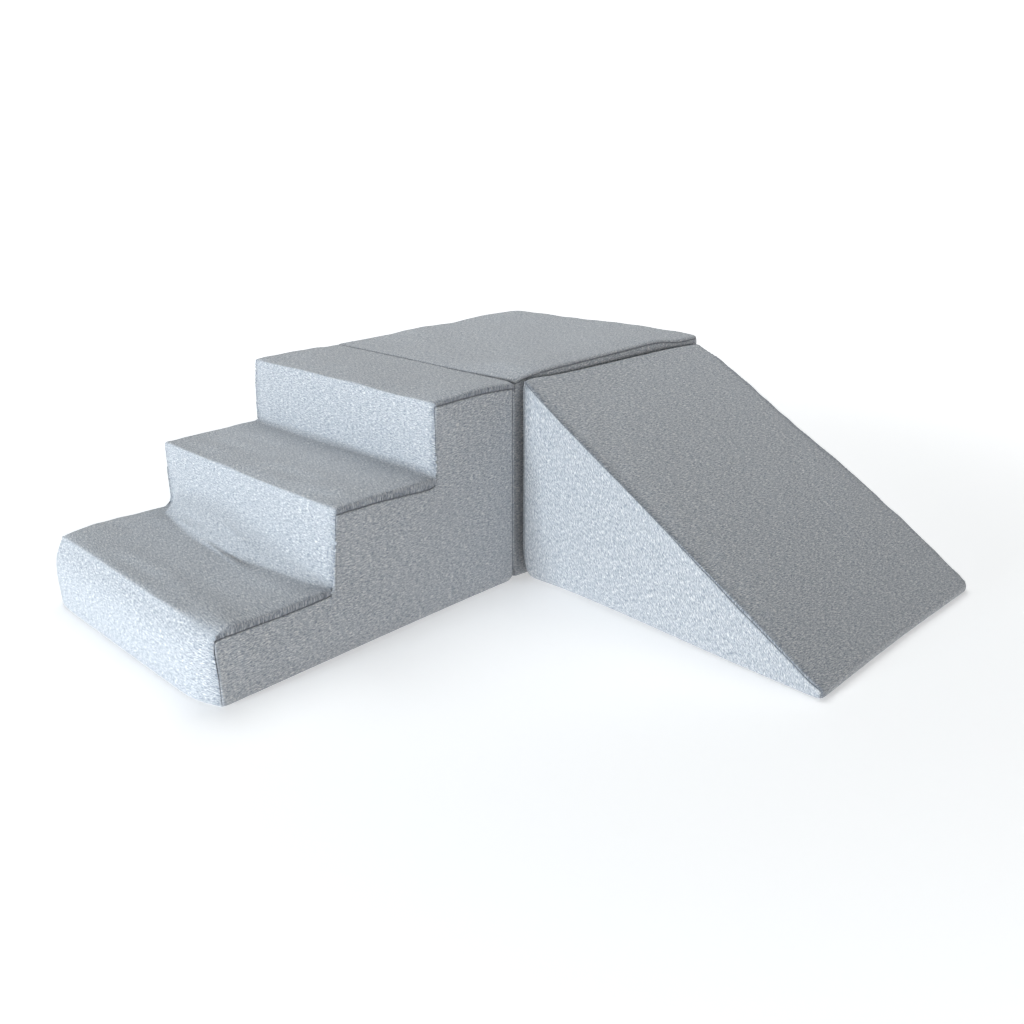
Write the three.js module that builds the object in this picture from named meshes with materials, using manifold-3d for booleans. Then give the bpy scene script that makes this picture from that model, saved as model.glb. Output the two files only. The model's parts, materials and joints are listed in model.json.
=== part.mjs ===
// Soft play foam climber: a flight of three steps, a corner platform and a slide.
// Each block is a foam core in a sewn jersey cover that closes with a coil zip low on its hidden side.
// Millimetres, +Z up. The origin is the centre of the platform's underside, on the floor.
import * as THREE from "three";
import { mergeVertices } from "three/addons/utils/BufferGeometryUtils.js";
import Module from "manifold-3d";

const wasm = await Module();
wasm.setup();

// Driving dimensions of the three blocks, measured over their covers
const HEIGHT = 450;
const STEP_RISES = [143, 155, 152]; // lowest first, and they add up to HEIGHT
const STEP_TREADS = [260, 253, 232]; // lowest first
const STAIR_WIDTH = 620; // also the platform's depth
const PLATFORM_LENGTH = 645;
const SLIDE_WIDTH = 640;
const SLIDE_RUN = 745;
const SLIDE_TOP = 447; // its sharp top edge settles a little
const SLIDE_TOE = 20; // height of the blunt lower edge

// How the blocks stand together
const BLOCK_GAP = 0.5;
const SLIDE_OFFSET = 17; // the slide's near side stands this far in from the platform's corner
const SLIDE_YAW = THREE.MathUtils.degToRad(-0.8); // it stands slightly askew, open at its far end

// Cover and seams
const COVER = 2; // jersey with its backing
const SEAM_GAP = 0.3; // between neighbouring panels, and between a panel and the foam
const UNDER = COVER + SEAM_GAP; // depth of the foam below the outer face
const NOSE_RADIUS = 12; // soft outer edges of the steps
const NOOK_RADIUS = 8; // soft inner corners between a tread and a riser
const TOE_RADIUS = 7;
const ARC_STEPS = 4;

// Coil zip, size 5. u runs along it, v up and n out of the cover's face
const ZIP_HEIGHT = 42; // centre line above the floor
const ZIP_MARGIN = 42; // from the end of the chain to the block's corner
const OPENING_HALF = 7; // half the opening between the folded panel edges
const OPENING_OVERRUN = 4.5; // the opening runs this far past the chain, to clear its stops
const TAPE = { inner: 3.4, outer: 16, back: -3.1, front: -2.3, overrun: 10 };
const COIL = { inner: 0.5, outer: 3.1, back: -4.2, front: -1.4 };
const STOP = { length: 3, half: 3.2, back: -4, front: -1.2 };
const RECESS = { half: 18, back: -6.4, overrun: 14 }; // where the zip presses into the foam
const SLIDER = { length: 12, frontHalf: 4.6, backHalf: 3.7, plate: 1.3, clearance: 0.3 };
const FLANGE = { inner: 3.5, width: 0.9 };
const WEB = { length: 3, half: 0.2 };
const BRIDGE = { half: 4.2, post: 1.4, height: 3.6, bar: 1.1, halfWidth: 0.8 };
const PULL = { length: 27, width: 6.4, thick: 1.2, eye: 5.9, arm: 1.2, tipRadius: 2.4 };
const SLIDER_INSET = 9; // from the chain's end to the slider's middle when the zip is shut

// Materials
function material(color, roughness, metalness = 0) {
  return new THREE.MeshStandardMaterial({ color, roughness, metalness });
}
const jersey = material(0xa3a9b0, 0.95);
const foam = material(0xe8e2cf, 0.9);
const tapeCloth = material(0x80868d, 0.9);
const coilPlastic = material(0x6d7379, 0.5);
const zinc = material(0xb4b7ba, 0.3, 0.9);

// A three.js geometry as a manifold-3d solid, and back again
function toSolid(geometry) {
  const bare = geometry.clone();
  bare.deleteAttribute("normal");
  bare.deleteAttribute("uv");
  const merged = mergeVertices(bare, 1e-4);
  return new wasm.Manifold(
    new wasm.Mesh({
      numProp: 3,
      vertProperties: new Float32Array(merged.attributes.position.array),
      triVerts: new Uint32Array(merged.index.array),
    }),
  );
}

function toGeometry(solid) {
  const mesh = solid.getMesh();
  const geometry = new THREE.BufferGeometry();
  geometry.setAttribute("position", new THREE.BufferAttribute(mesh.vertProperties, 3));
  geometry.setIndex(new THREE.BufferAttribute(mesh.triVerts, 1));
  return geometry.toNonIndexed();
}

function join(...geometries) {
  return toGeometry(geometries.map(toSolid).reduce((whole, piece) => whole.add(piece)));
}

function cut(geometry, tool) {
  return toGeometry(toSolid(geometry).subtract(toSolid(tool)));
}

function common(geometry, tool) {
  return toGeometry(toSolid(geometry).intersect(toSolid(tool)));
}

// A box between two corners
function box([x0, y0, z0], [x1, y1, z1]) {
  return new THREE.BoxGeometry(x1 - x0, y1 - y0, z1 - z0).translate(
    (x0 + x1) / 2,
    (y0 + y1) / 2,
    (z0 + z1) / 2,
  );
}

// An outline of [x, z] points, extruded from y0 to y1
function acrossWidth(outline, y0, y1) {
  const shape = new THREE.Shape(outline.map(([x, z]) => new THREE.Vector2(x, z)));
  const geometry = new THREE.ExtrudeGeometry(shape, { depth: y1 - y0, bevelEnabled: false });
  return geometry.rotateX(Math.PI / 2).translate(0, y1, 0);
}

// A shape drawn in u and v, extruded along n
function plate(shape, back, front) {
  const geometry = new THREE.ExtrudeGeometry(shape, {
    depth: front - back,
    bevelEnabled: false,
    curveSegments: ARC_STEPS,
  });
  return geometry.translate(0, 0, back);
}

function mesh(name, geometry, finish) {
  const made = new THREE.Mesh(geometry, finish);
  made.name = name;
  return made;
}

// The outline moved inwards by a distance. Its corners run counter-clockwise.
function inset(outline, distance) {
  const count = outline.length;
  return outline.map((point, i) => {
    const before = new THREE.Vector2(...outline[(i + count - 1) % count]);
    const here = new THREE.Vector2(...point);
    const after = new THREE.Vector2(...outline[(i + 1) % count]);
    const into = here.clone().sub(before).normalize();
    const out = after.clone().sub(here).normalize();
    const turn = into.cross(out);
    const move = out.clone().sub(into).multiplyScalar(distance / turn);
    return here.add(move).toArray();
  });
}

// The outline with its corners rounded: radii holds one radius for each corner, 0 for a sharp one
function rounded(outline, radii) {
  const count = outline.length;
  return outline.flatMap((point, i) => {
    if (radii[i] <= 0) return [point];
    const here = new THREE.Vector2(...point);
    const toBefore = new THREE.Vector2(...outline[(i + count - 1) % count]).sub(here).normalize();
    const toAfter = new THREE.Vector2(...outline[(i + 1) % count]).sub(here).normalize();
    const halfAngle = Math.acos(toBefore.dot(toAfter)) / 2;
    const middle = toBefore
      .clone()
      .add(toAfter)
      .normalize()
      .multiplyScalar(radii[i] / Math.sin(halfAngle))
      .add(here);
    const reach = radii[i] / Math.tan(halfAngle);
    const start = here.clone().addScaledVector(toBefore, reach).sub(middle);
    const end = here.clone().addScaledVector(toAfter, reach).sub(middle);
    const sweep = Math.atan2(start.cross(end), start.dot(end));
    return Array.from({ length: ARC_STEPS + 1 }, (_, k) => {
      const spoke = start.clone().rotateAround(new THREE.Vector2(), (sweep * k) / ARC_STEPS);
      return middle.clone().add(spoke).toArray();
    });
  });
}

// A block's side profile, drawn at a depth below its outer face
function profileAt(profile, depth) {
  const radii = profile.corners.map(({ radius = 0, hollow = false }) =>
    radius ? Math.max(radius + (hollow ? depth : -depth), 0.5) : 0,
  );
  return rounded(inset(profile.corners.map(({ at }) => at), depth), radii);
}

// The profile's stretch between two sharp corners, at the cover's outer and inner face
function coverStretch(profile, first, last) {
  const index = (corner) =>
    profile.corners
      .slice(0, corner)
      .reduce((sum, { radius = 0 }) => sum + (radius ? ARC_STEPS + 1 : 1), 0);
  return [0, COVER].map((depth) => profileAt(profile, depth).slice(index(first), index(last) + 1));
}

// The steps' profile in their own frame: back face at x = 0, running down towards -x.
// The corners run counter-clockwise from the floor below the first step.
function stairProfile() {
  const [rise1, rise2] = STEP_RISES;
  const [tread1, tread2, tread3] = STEP_TREADS;
  const front = -(tread1 + tread2 + tread3);
  const second = front + tread1;
  const third = second + tread2;
  const clockwise = [
    { at: [front, 0] },
    { at: [front, rise1], radius: NOSE_RADIUS },
    { at: [second, rise1], radius: NOOK_RADIUS, hollow: true },
    { at: [second, rise1 + rise2], radius: NOSE_RADIUS },
    { at: [third, rise1 + rise2], radius: NOOK_RADIUS, hollow: true },
    { at: [third, HEIGHT], radius: NOSE_RADIUS },
    { at: [0, HEIGHT] },
    { at: [0, 0] },
  ];
  return { corners: clockwise.reverse(), length: -front };
}

// The slide's profile in the same kind of frame
function slideProfile() {
  const clockwise = [
    { at: [-SLIDE_RUN, 0] },
    { at: [-SLIDE_RUN, SLIDE_TOE], radius: TOE_RADIUS },
    { at: [0, SLIDE_TOP] },
    { at: [0, 0] },
  ];
  return { corners: clockwise.reverse(), length: SLIDE_RUN };
}

// The band over a block's top and front faces: an outer and an inner line, joined at the base
function bandOutline(profile) {
  const last = profile.corners.length - 1;
  const [outer, inner] = coverStretch(profile, 1, last);
  outer[outer.length - 1] = [outer.at(-1)[0], UNDER];
  inner[inner.length - 1] = [inner.at(-1)[0], UNDER];
  return [...outer, ...inner.reverse()];
}

// Where a zip's chain lies along a block that runs from x = 0 down to -length
function zipSpan(length) {
  return { centre: -length / 2, half: length / 2 - ZIP_MARGIN };
}

// The opening between the folded panel edges, from the floor to the upper edge
function zipOpening({ centre, half }, y0, y1) {
  const reach = half + OPENING_OVERRUN;
  return box([centre - reach, y0 - 1, 0], [centre + reach, y1 + 1, ZIP_HEIGHT + OPENING_HALF]);
}

// A side panel that stops above the zip and reaches down past its two ends
function panelAboveZip(profile, y0, y1, span) {
  const whole = acrossWidth(profileAt(profile, UNDER), y0, y1);
  const seam = ZIP_HEIGHT - OPENING_HALF + SEAM_GAP;
  const below = box([-profile.length, y0 - 1, -1], [0, y1 + 1, seam]);
  return cut(cut(whole, below), zipOpening(span, y0, y1));
}

// The strip of cover between the zip and the floor
function stripBelowZip(profile, y0, y1) {
  const whole = acrossWidth(profileAt(profile, UNDER), y0, y1);
  const above = box(
    [-profile.length, y0 - 1, ZIP_HEIGHT - OPENING_HALF],
    [0, y1 + 1, HEIGHT],
  );
  return cut(whole, above);
}

// The slider: two plates joined by a web that runs between the coils, with a bridge for the pull
function sliderBody() {
  const front = COIL.front + SLIDER.clearance;
  const back = COIL.back - SLIDER.clearance;
  const half = SLIDER.length / 2;
  const shield = new THREE.Shape([
    new THREE.Vector2(half, -SLIDER.backHalf),
    new THREE.Vector2(half, SLIDER.backHalf),
    new THREE.Vector2(0, SLIDER.frontHalf),
    new THREE.Vector2(-half + 1.5, SLIDER.frontHalf),
    new THREE.Vector2(-half, SLIDER.frontHalf - 1.5),
    new THREE.Vector2(-half, -SLIDER.frontHalf + 1.5),
    new THREE.Vector2(-half + 1.5, -SLIDER.frontHalf),
    new THREE.Vector2(0, -SLIDER.frontHalf),
  ]);
  const top = front + SLIDER.plate;
  const pieces = [
    plate(shield, front, top),
    plate(shield, back - SLIDER.plate, back),
    box([-half + 1, -WEB.half, back - 0.1], [-half + 1 + WEB.length, WEB.half, front + 0.1]),
  ];
  for (const side of [-1, 1]) {
    const inner = side * FLANGE.inner;
    const outer = side * (FLANGE.inner + FLANGE.width);
    const low = Math.min(inner, outer);
    const high = Math.max(inner, outer);
    const reach = TAPE.front + SLIDER.clearance;
    pieces.push(box([-half + 1.5, low, reach], [0, high, front + 0.1]));
    pieces.push(box([-half + 1.5, low, back - 0.1], [0, high, TAPE.back - SLIDER.clearance]));
  }
  const under = top + BRIDGE.height - BRIDGE.bar;
  for (const side of [-1, 1]) {
    const inner = side * (BRIDGE.half - BRIDGE.post);
    const outer = side * BRIDGE.half;
    const low = Math.min(inner, outer);
    const high = Math.max(inner, outer);
    pieces.push(
      box([low, -BRIDGE.halfWidth, top - 0.1], [high, BRIDGE.halfWidth, under + 0.1]),
    );
  }
  pieces.push(
    box(
      [-BRIDGE.half, -BRIDGE.halfWidth, under],
      [BRIDGE.half, BRIDGE.halfWidth, under + BRIDGE.bar],
    ),
  );
  return join(...pieces);
}

// The height of the pull's hinge above the cover's face
function pullHinge() {
  const top = COIL.front + SLIDER.clearance + SLIDER.plate;
  return top + (BRIDGE.height - BRIDGE.bar) / 2;
}

// The pull lies along +u from its hinge, with an eye round the bridge's bar
function pullTab() {
  const half = PULL.width / 2;
  const shape = new THREE.Shape();
  const start = -PULL.thick / 2;
  shape.moveTo(start, -BRIDGE.halfWidth - SLIDER.clearance - PULL.arm);
  shape.lineTo(PULL.eye, -half);
  shape.lineTo(PULL.length - PULL.tipRadius, -half);
  shape.absarc(PULL.length - PULL.tipRadius, -half + PULL.tipRadius, PULL.tipRadius, -Math.PI / 2, 0);
  shape.absarc(PULL.length - PULL.tipRadius, half - PULL.tipRadius, PULL.tipRadius, 0, Math.PI / 2);
  shape.lineTo(PULL.eye, half);
  shape.lineTo(start, BRIDGE.halfWidth + SLIDER.clearance + PULL.arm);
  const eye = new THREE.Path();
  const eyeHalf = BRIDGE.halfWidth + SLIDER.clearance;
  eye.moveTo(-start, -eyeHalf);
  eye.lineTo(PULL.eye, -eyeHalf);
  eye.lineTo(PULL.eye, eyeHalf);
  eye.lineTo(-start, eyeHalf);
  shape.holes.push(eye);
  return plate(shape, -PULL.thick / 2, PULL.thick / 2);
}

// A whole zip, centred on its own origin, u along x, v along y and n along z
function zip(owner, half) {
  const group = new THREE.Group();
  const rowNames = { 1: "upper", "-1": "lower" };
  for (const side of [1, -1]) {
    const row = rowNames[side];
    const span = ({ inner, outer }) => [Math.min(side * inner, side * outer), Math.max(side * inner, side * outer)];
    const [tapeLow, tapeHigh] = span(TAPE);
    const [coilLow, coilHigh] = span(COIL);
    const reach = half + TAPE.overrun;
    group.add(
      mesh(
        `${owner}_zip_tape_${row}`,
        box([-reach, tapeLow, TAPE.back], [reach, tapeHigh, TAPE.front]),
        tapeCloth,
      ),
      mesh(
        `${owner}_zip_coil_${row}`,
        box([-half, coilLow, COIL.back], [half, coilHigh, COIL.front]),
        coilPlastic,
      ),
    );
  }
  for (const [end, side] of [["top", -1], ["bottom", 1]]) {
    const inner = side * (half + SEAM_GAP);
    const outer = side * (half + SEAM_GAP + STOP.length);
    group.add(
      mesh(
        `${owner}_zip_${end}_stop`,
        box(
          [Math.min(inner, outer), -STOP.half, STOP.back],
          [Math.max(inner, outer), STOP.half, STOP.front],
        ),
        zinc,
      ),
    );
  }
  const slider = mesh(`${owner}_zip_slider`, sliderBody(), zinc);
  slider.position.set(-half + SLIDER_INSET, 0, 0);
  const pull = mesh(`${owner}_zip_pull`, pullTab(), zinc);
  pull.position.set(0, 0, pullHinge());
  slider.add(pull);
  group.add(slider);
  return group;
}

// Places a zip on an upright face whose outward direction is given
function onFace(zipGroup, outward, x, y) {
  const up = new THREE.Vector3(0, 0, 1);
  const along = new THREE.Vector3().crossVectors(up, outward);
  zipGroup.quaternion.setFromRotationMatrix(new THREE.Matrix4().makeBasis(along, up, outward));
  zipGroup.position.set(x, y, ZIP_HEIGHT);
  return zipGroup;
}

// The room that a zip takes in the foam behind it
function zipRecess(span, face, side) {
  const inner = face + side * RECESS.back;
  const outer = face + side;
  return box(
    [span.centre - span.half - RECESS.overrun, Math.min(inner, outer), ZIP_HEIGHT - RECESS.half],
    [span.centre + span.half + RECESS.overrun, Math.max(inner, outer), ZIP_HEIGHT + RECESS.half],
  );
}

// Steps: three glued foam slabs in a cover of band, two sides, back and base
function stairs() {
  const group = new THREE.Group();
  const profile = stairProfile();
  const half = STAIR_WIDTH / 2;
  const span = zipSpan(profile.length);
  const [tread1, tread2] = STEP_TREADS;
  const front = -profile.length;
  const slabFronts = [front, front + tread1, front + tread1 + tread2];
  const slabNames = ["lower", "middle", "upper"];
  const softProfile = acrossWidth(profileAt(profile, UNDER), -half, half);
  const recess = zipRecess(span, half, 1);
  let bottom = UNDER;
  let top = 0;
  slabNames.forEach((which, i) => {
    top += STEP_RISES[i];
    const slab = box(
      [slabFronts[i] + UNDER, -half + UNDER, bottom],
      [-UNDER, half - UNDER, top - UNDER],
    );
    const shaped = cut(common(slab, softProfile), recess);
    group.add(mesh(`stairs_foam_${which}_slab`, shaped, foam));
    bottom = top - UNDER + SEAM_GAP;
  });
  group.add(
    mesh("stairs_step_band", acrossWidth(bandOutline(profile), -half, half), jersey),
    mesh("stairs_near_side_panel", acrossWidth(profileAt(profile, UNDER), -half, -half + COVER), jersey),
    mesh("stairs_far_side_panel", panelAboveZip(profile, half - COVER, half, span), jersey),
    mesh("stairs_far_side_base_strip", stripBelowZip(profile, half - COVER, half), jersey),
    mesh("stairs_back_panel", box([-COVER, -half, UNDER], [0, half, HEIGHT - UNDER]), jersey),
    mesh("stairs_base_panel", box([front, -half, 0], [0, half, COVER]), jersey),
    onFace(zip("stairs", span.half), new THREE.Vector3(0, 1, 0), span.centre, half),
  );
  return group;
}

// Platform: one foam block in a cover of top, four sides and base
function platform() {
  const group = new THREE.Group();
  const x = PLATFORM_LENGTH / 2;
  const y = STAIR_WIDTH / 2;
  const top = HEIGHT - UNDER;
  const span = { centre: 0, half: x - ZIP_MARGIN };
  const core = box([-x + UNDER, -y + UNDER, UNDER], [x - UNDER, y - UNDER, top]);
  const seam = ZIP_HEIGHT - OPENING_HALF;
  const farPanel = box([-x, y - COVER, seam + SEAM_GAP], [x, y, top]);
  const opening = zipOpening(span, y - COVER, y);
  group.add(
    mesh("platform_foam_block", cut(core, zipRecess(span, y, 1)), foam),
    mesh("platform_top_panel", box([-x, -y, HEIGHT - COVER], [x, y, HEIGHT]), jersey),
    mesh("platform_slide_side_panel", box([-x, -y, UNDER], [x, -y + COVER, top]), jersey),
    mesh("platform_far_side_panel", cut(farPanel, opening), jersey),
    mesh("platform_far_side_base_strip", box([-x, y - COVER, UNDER], [x, y, seam]), jersey),
    mesh("platform_stair_side_panel", box([-x, -y + UNDER, UNDER], [-x + COVER, y - UNDER, top]), jersey),
    mesh("platform_outer_side_panel", box([x - COVER, -y + UNDER, UNDER], [x, y - UNDER, top]), jersey),
    mesh("platform_base_panel", box([-x, -y, 0], [x, y, COVER]), jersey),
    onFace(zip("platform", span.half), new THREE.Vector3(0, 1, 0), 0, y),
  );
  return group;
}

// Slide: one foam wedge in a cover of ramp band, two sides, back and base
function slide() {
  const group = new THREE.Group();
  const profile = slideProfile();
  const half = SLIDE_WIDTH / 2;
  const slope = (SLIDE_TOP - SLIDE_TOE) / SLIDE_RUN;
  const zipEnd = -(SLIDE_TOP - ZIP_HEIGHT - OPENING_HALF - 2 * RECESS.half) / slope;
  const span = zipSpan(-zipEnd);
  const core = acrossWidth(profileAt(profile, UNDER), -half + UNDER, half - UNDER);
  const backTop = SLIDE_TOP - COVER * slope - UNDER * Math.hypot(1, slope);
  group.add(
    mesh("slide_foam_wedge", cut(core, zipRecess(span, -half, -1)), foam),
    mesh("slide_ramp_band", acrossWidth(bandOutline(profile), -half, half), jersey),
    mesh("slide_near_side_panel", acrossWidth(profileAt(profile, UNDER), half - COVER, half), jersey),
    mesh("slide_far_side_panel", panelAboveZip(profile, -half, -half + COVER, span), jersey),
    mesh("slide_far_side_base_strip", stripBelowZip(profile, -half, -half + COVER), jersey),
    mesh("slide_back_panel", box([-COVER, -half, UNDER], [0, half, backTop]), jersey),
    mesh("slide_base_panel", box([-SLIDE_RUN, -half, 0], [0, half, COVER]), jersey),
    onFace(zip("slide", span.half), new THREE.Vector3(0, -1, 0), span.centre, -half),
  );
  return group;
}

// The whole climber: the steps run down towards -X and the slide towards -Y
const climber = new THREE.Group();
climber.add(platform());

const steps = stairs();
steps.position.set(-PLATFORM_LENGTH / 2 - BLOCK_GAP, 0, 0);
climber.add(steps);

// The slide turns about the corner where it meets the platform and the steps
const slideCorner = new THREE.Group();
slideCorner.position.set(-PLATFORM_LENGTH / 2 + SLIDE_OFFSET, -STAIR_WIDTH / 2 - BLOCK_GAP, 0);
slideCorner.rotation.z = Math.PI / 2 + SLIDE_YAW;
const ramp = slide();
ramp.position.set(0, -SLIDE_WIDTH / 2, 0);
slideCorner.add(ramp);
climber.add(slideCorner);

export default climber;
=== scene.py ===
# %% [markdown]
# # Soft play foam climber
# Three loose blocks of foam stand together: a flight of three steps, a corner platform and a slide.
# Each block wears a sewn cover of heather-grey jersey that closes with a coil zip on its hidden side.
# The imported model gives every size. This script makes what the eye sees: the soft corners, the seams with
# their little gathers, the flecked knit, the foam inside, the zips, and the light.

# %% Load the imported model
import json
from collections import namedtuple

import bmesh
import bpy
import numpy as np
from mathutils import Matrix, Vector


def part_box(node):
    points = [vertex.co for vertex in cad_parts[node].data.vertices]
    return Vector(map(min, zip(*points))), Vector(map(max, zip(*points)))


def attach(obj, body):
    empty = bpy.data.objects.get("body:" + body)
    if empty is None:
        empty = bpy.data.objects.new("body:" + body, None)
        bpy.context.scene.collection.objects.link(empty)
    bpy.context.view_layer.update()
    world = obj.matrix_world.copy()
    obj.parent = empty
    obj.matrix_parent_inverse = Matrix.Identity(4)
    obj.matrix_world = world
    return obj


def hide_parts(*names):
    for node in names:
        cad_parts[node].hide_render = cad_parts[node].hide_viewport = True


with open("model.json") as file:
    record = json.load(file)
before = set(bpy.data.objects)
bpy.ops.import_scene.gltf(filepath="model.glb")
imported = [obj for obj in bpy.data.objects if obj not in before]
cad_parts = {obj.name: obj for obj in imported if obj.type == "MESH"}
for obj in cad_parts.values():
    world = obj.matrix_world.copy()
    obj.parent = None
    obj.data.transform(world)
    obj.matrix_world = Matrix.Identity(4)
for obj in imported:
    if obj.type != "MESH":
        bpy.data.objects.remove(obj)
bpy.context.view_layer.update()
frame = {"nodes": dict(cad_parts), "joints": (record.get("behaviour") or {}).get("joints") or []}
MM = 0.001  # shapes are worked out in millimetres and put into Blender in metres

# %% [markdown]
# ## The blocks' sizes
# The covers follow the blocks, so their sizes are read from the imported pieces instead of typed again.
# A step's front and top lie one cover's thickness outside the foam slab that fills it.
# The slide stands slightly askew. Its zip runs straight along it, so the zip's joint gives its direction,
# and two equations for the box of a turned rectangle give its width and length.

# %% Read the sizes
def node_box(name):
    """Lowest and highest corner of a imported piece, in millimetres."""
    low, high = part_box(name)
    return np.array(low) / MM, np.array(high) / MM


UNDER = node_box("stairs_foam_lower_slab")[0][2]  # depth of the foam below the cover's outer face
SLABS = [f"stairs_foam_{part}_slab" for part in ("lower", "middle", "upper")]
STEP_FRONTS = [node_box(slab)[0][0] - UNDER for slab in SLABS]
STEP_TOPS = [node_box(slab)[1][2] + UNDER for slab in SLABS]
FRONT_1, FRONT_2, FRONT_3 = STEP_FRONTS
TOP_1, TOP_2, TOP_3 = STEP_TOPS
STAIR_BACK, STAIR_HALF = node_box("stairs_step_band")[1][:2]
PLATFORM_HALF, PLATFORM_DEPTH, PLATFORM_TOP = node_box("platform_top_panel")[1]
joint_axes = {joint["name"]: joint.get("axis") for joint in frame["joints"]}
slide_along = np.array(joint_axes["slide_zip_run"][:2], float)
band_low, band_high = node_box("slide_ramp_band")
turn_matrix = [[slide_along[1], slide_along[0]], [slide_along[0], slide_along[1]]]
SLIDE_WIDTH, SLIDE_RUN = np.linalg.solve(turn_matrix, (band_high - band_low)[:2])
SLIDE_HALF = SLIDE_WIDTH / 2
SLIDE_TOP = band_high[2]
SLIDE_TOE = 20.0  # height of the blunt lower edge
slide_across = np.array([-slide_along[1], slide_along[0]])
slide_corner = np.array([band_low[0] + SLIDE_RUN * slide_along[0], band_high[1]])
slide_origin = slide_corner - slide_across * SLIDE_HALF
print("step fronts", STEP_FRONTS, "step tops", STEP_TOPS)
print("slide width and length", SLIDE_WIDTH, SLIDE_RUN)

# %% [markdown]
# ## Soft corners
# A foam block has no sharp edge: the foam is cut square, and the tight cover rounds it.
# Bevels would round every edge alike. Here each block is a formula instead: every face says how far a
# point lies outside it, and a smooth maximum joins the faces, so each edge and corner gets its own softness.
# Panels start on the sharp block and are then drawn onto the soft one, so neighbours meet along their seam.

# %% Smooth joins between faces
def smooth_max(a, b, softness):
    """softness times log(e^(a/softness) + e^(b/softness)): an edge of about 2.4 softness in radius."""
    return softness * np.logaddexp(a / softness, b / softness)


def smooth_min(a, b, softness):
    """The same for an inner corner."""
    return -smooth_max(-a, -b, softness)


def swell(p, centre, reach, powers=2):
    """1 at the centre, then e^(-half the sum of (distance / reach)^power); a high power ends squarely."""
    away = np.abs(p - np.array(centre, float)) / np.array(reach, float)
    return np.exp(-(away ** np.array(powers)).sum(-1) / 2)


def ease(x):
    """Smooth rise from 0 to 1 as x goes from 0 to 1: 3x^2 - 2x^3."""
    x = np.clip(x, 0, 1)
    return x * x * (3 - 2 * x)


def softened(p, base, corners):
    """A base softness that grows around some corners, each (centre, extra softness, reach)."""
    return base + sum(extra * swell(p, centre, reach) for centre, extra, reach in corners)


# %% Draw points onto a soft form
NEWTON_STEPS = 4


def slope(form, p, step=0.05):
    """The form's gradient by differences over a small step along x, y and z."""
    sides = np.eye(3) * step
    return np.stack([(form(p + side) - form(p - side)) / (2 * step) for side in sides], axis=-1)


def settle(form, p, depth=0.0):
    """Newton steps p - (f + depth) g / |g|^2 onto the surface at that depth; gives points and normals."""
    for _ in range(NEWTON_STEPS):
        g = slope(form, p)
        p = p - ((form(p) + depth) / (g * g).sum(-1))[..., None] * g
    g = slope(form, p)
    return p, g / np.linalg.norm(g, axis=-1, keepdims=True)


# %% [markdown]
# ## The three forms
# Where two blocks stand face to face the cover keeps a small, firm edge, so that the joint stays a fine
# line. The outer edges are softer, the far ones most, and a few corners are rounded by handling.
# At the foot of the second and third riser the cover doesn't reach into the corner but spans it. A sloping
# plane, joined to the steps by a smooth minimum, stands for that stretch of cloth.

# %% Softness of the edges
MATE = 1.6  # edges of a face that stands against another block
NEAR_EDGE = 3.0
FAR_EDGE = 4.0
NOSES = (4.5, 4.0, 3.0)  # outer edges of the three steps
NOOK = 3.2  # inner corner between tread and riser
BASE = 3.5
TOE = 3.0
EDGE_CHANGE = 300.0  # the edge softens over this length across the block

STAIR_CORNERS = [
    ((FRONT_1, STAIR_HALF, TOP_1), 12.0, 42.0),
    ((FRONT_1, -STAIR_HALF, TOP_1), 3.0, 26.0),
    ((FRONT_1, -STAIR_HALF, 0.0), 1.5, 22.0),
    ((FRONT_2, STAIR_HALF, TOP_2), 2.0, 25.0),
]
STAIR_TRODDEN = [((FRONT_1, -STAIR_HALF, TOP_1), 12.0, (70.0, 55.0, 70.0))]
STAIR_FOOT = [((STAIR_BACK - 240, -STAIR_HALF, 0.0), 4.0, (300.0, 50.0, 60.0))]
STAIR_BACK_CORNERS = [
    ((STAIR_BACK, -STAIR_HALF, 0.0), 6.0, 22.0),
    ((STAIR_BACK, -STAIR_HALF, TOP_3), 3.0, 16.0),
    ((STAIR_BACK, -STAIR_HALF, TOP_3 / 2), 2.0, (16.0, 16.0, 200.0)),
]
STAIR_NOOKS = [
    ((FRONT_2, STAIR_HALF, TOP_1), 6.0, 40.0),
    ((FRONT_2 - 40, -STAIR_HALF + 70, TOP_1), 6.0, (90.0, 70.0, 60.0)),
    ((FRONT_3, STAIR_HALF, TOP_2), 3.0, 35.0),
]
PLATFORM_CORNERS = [
    ((PLATFORM_HALF, PLATFORM_DEPTH, PLATFORM_TOP), 7.0, 34.0),
    ((PLATFORM_HALF, -PLATFORM_DEPTH, PLATFORM_TOP), 2.0, 26.0),
    ((-PLATFORM_HALF, -PLATFORM_DEPTH, PLATFORM_TOP / 2), 5.0, (20.0, 20.0, 260.0)),
]
SLIDE_CORNERS = [
    ((0.0, SLIDE_HALF, SLIDE_TOP / 2), 5.0, (24.0, 24.0, 200.0)),
    ((0.0, SLIDE_HALF, 0.0), 9.0, 32.0),
    ((-SLIDE_RUN, -SLIDE_HALF, SLIDE_TOE / 2), 4.0, 26.0),
    ((-SLIDE_RUN, SLIDE_HALF, SLIDE_TOE / 2), 3.0, 22.0),
    ((0.0, -SLIDE_HALF, SLIDE_TOP), 6.0, 26.0),
]
SLIDE_FOOT = [((-SLIDE_RUN / 5, SLIDE_HALF, 0.0), 10.0, (230.0, 60.0, 60.0))]

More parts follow.
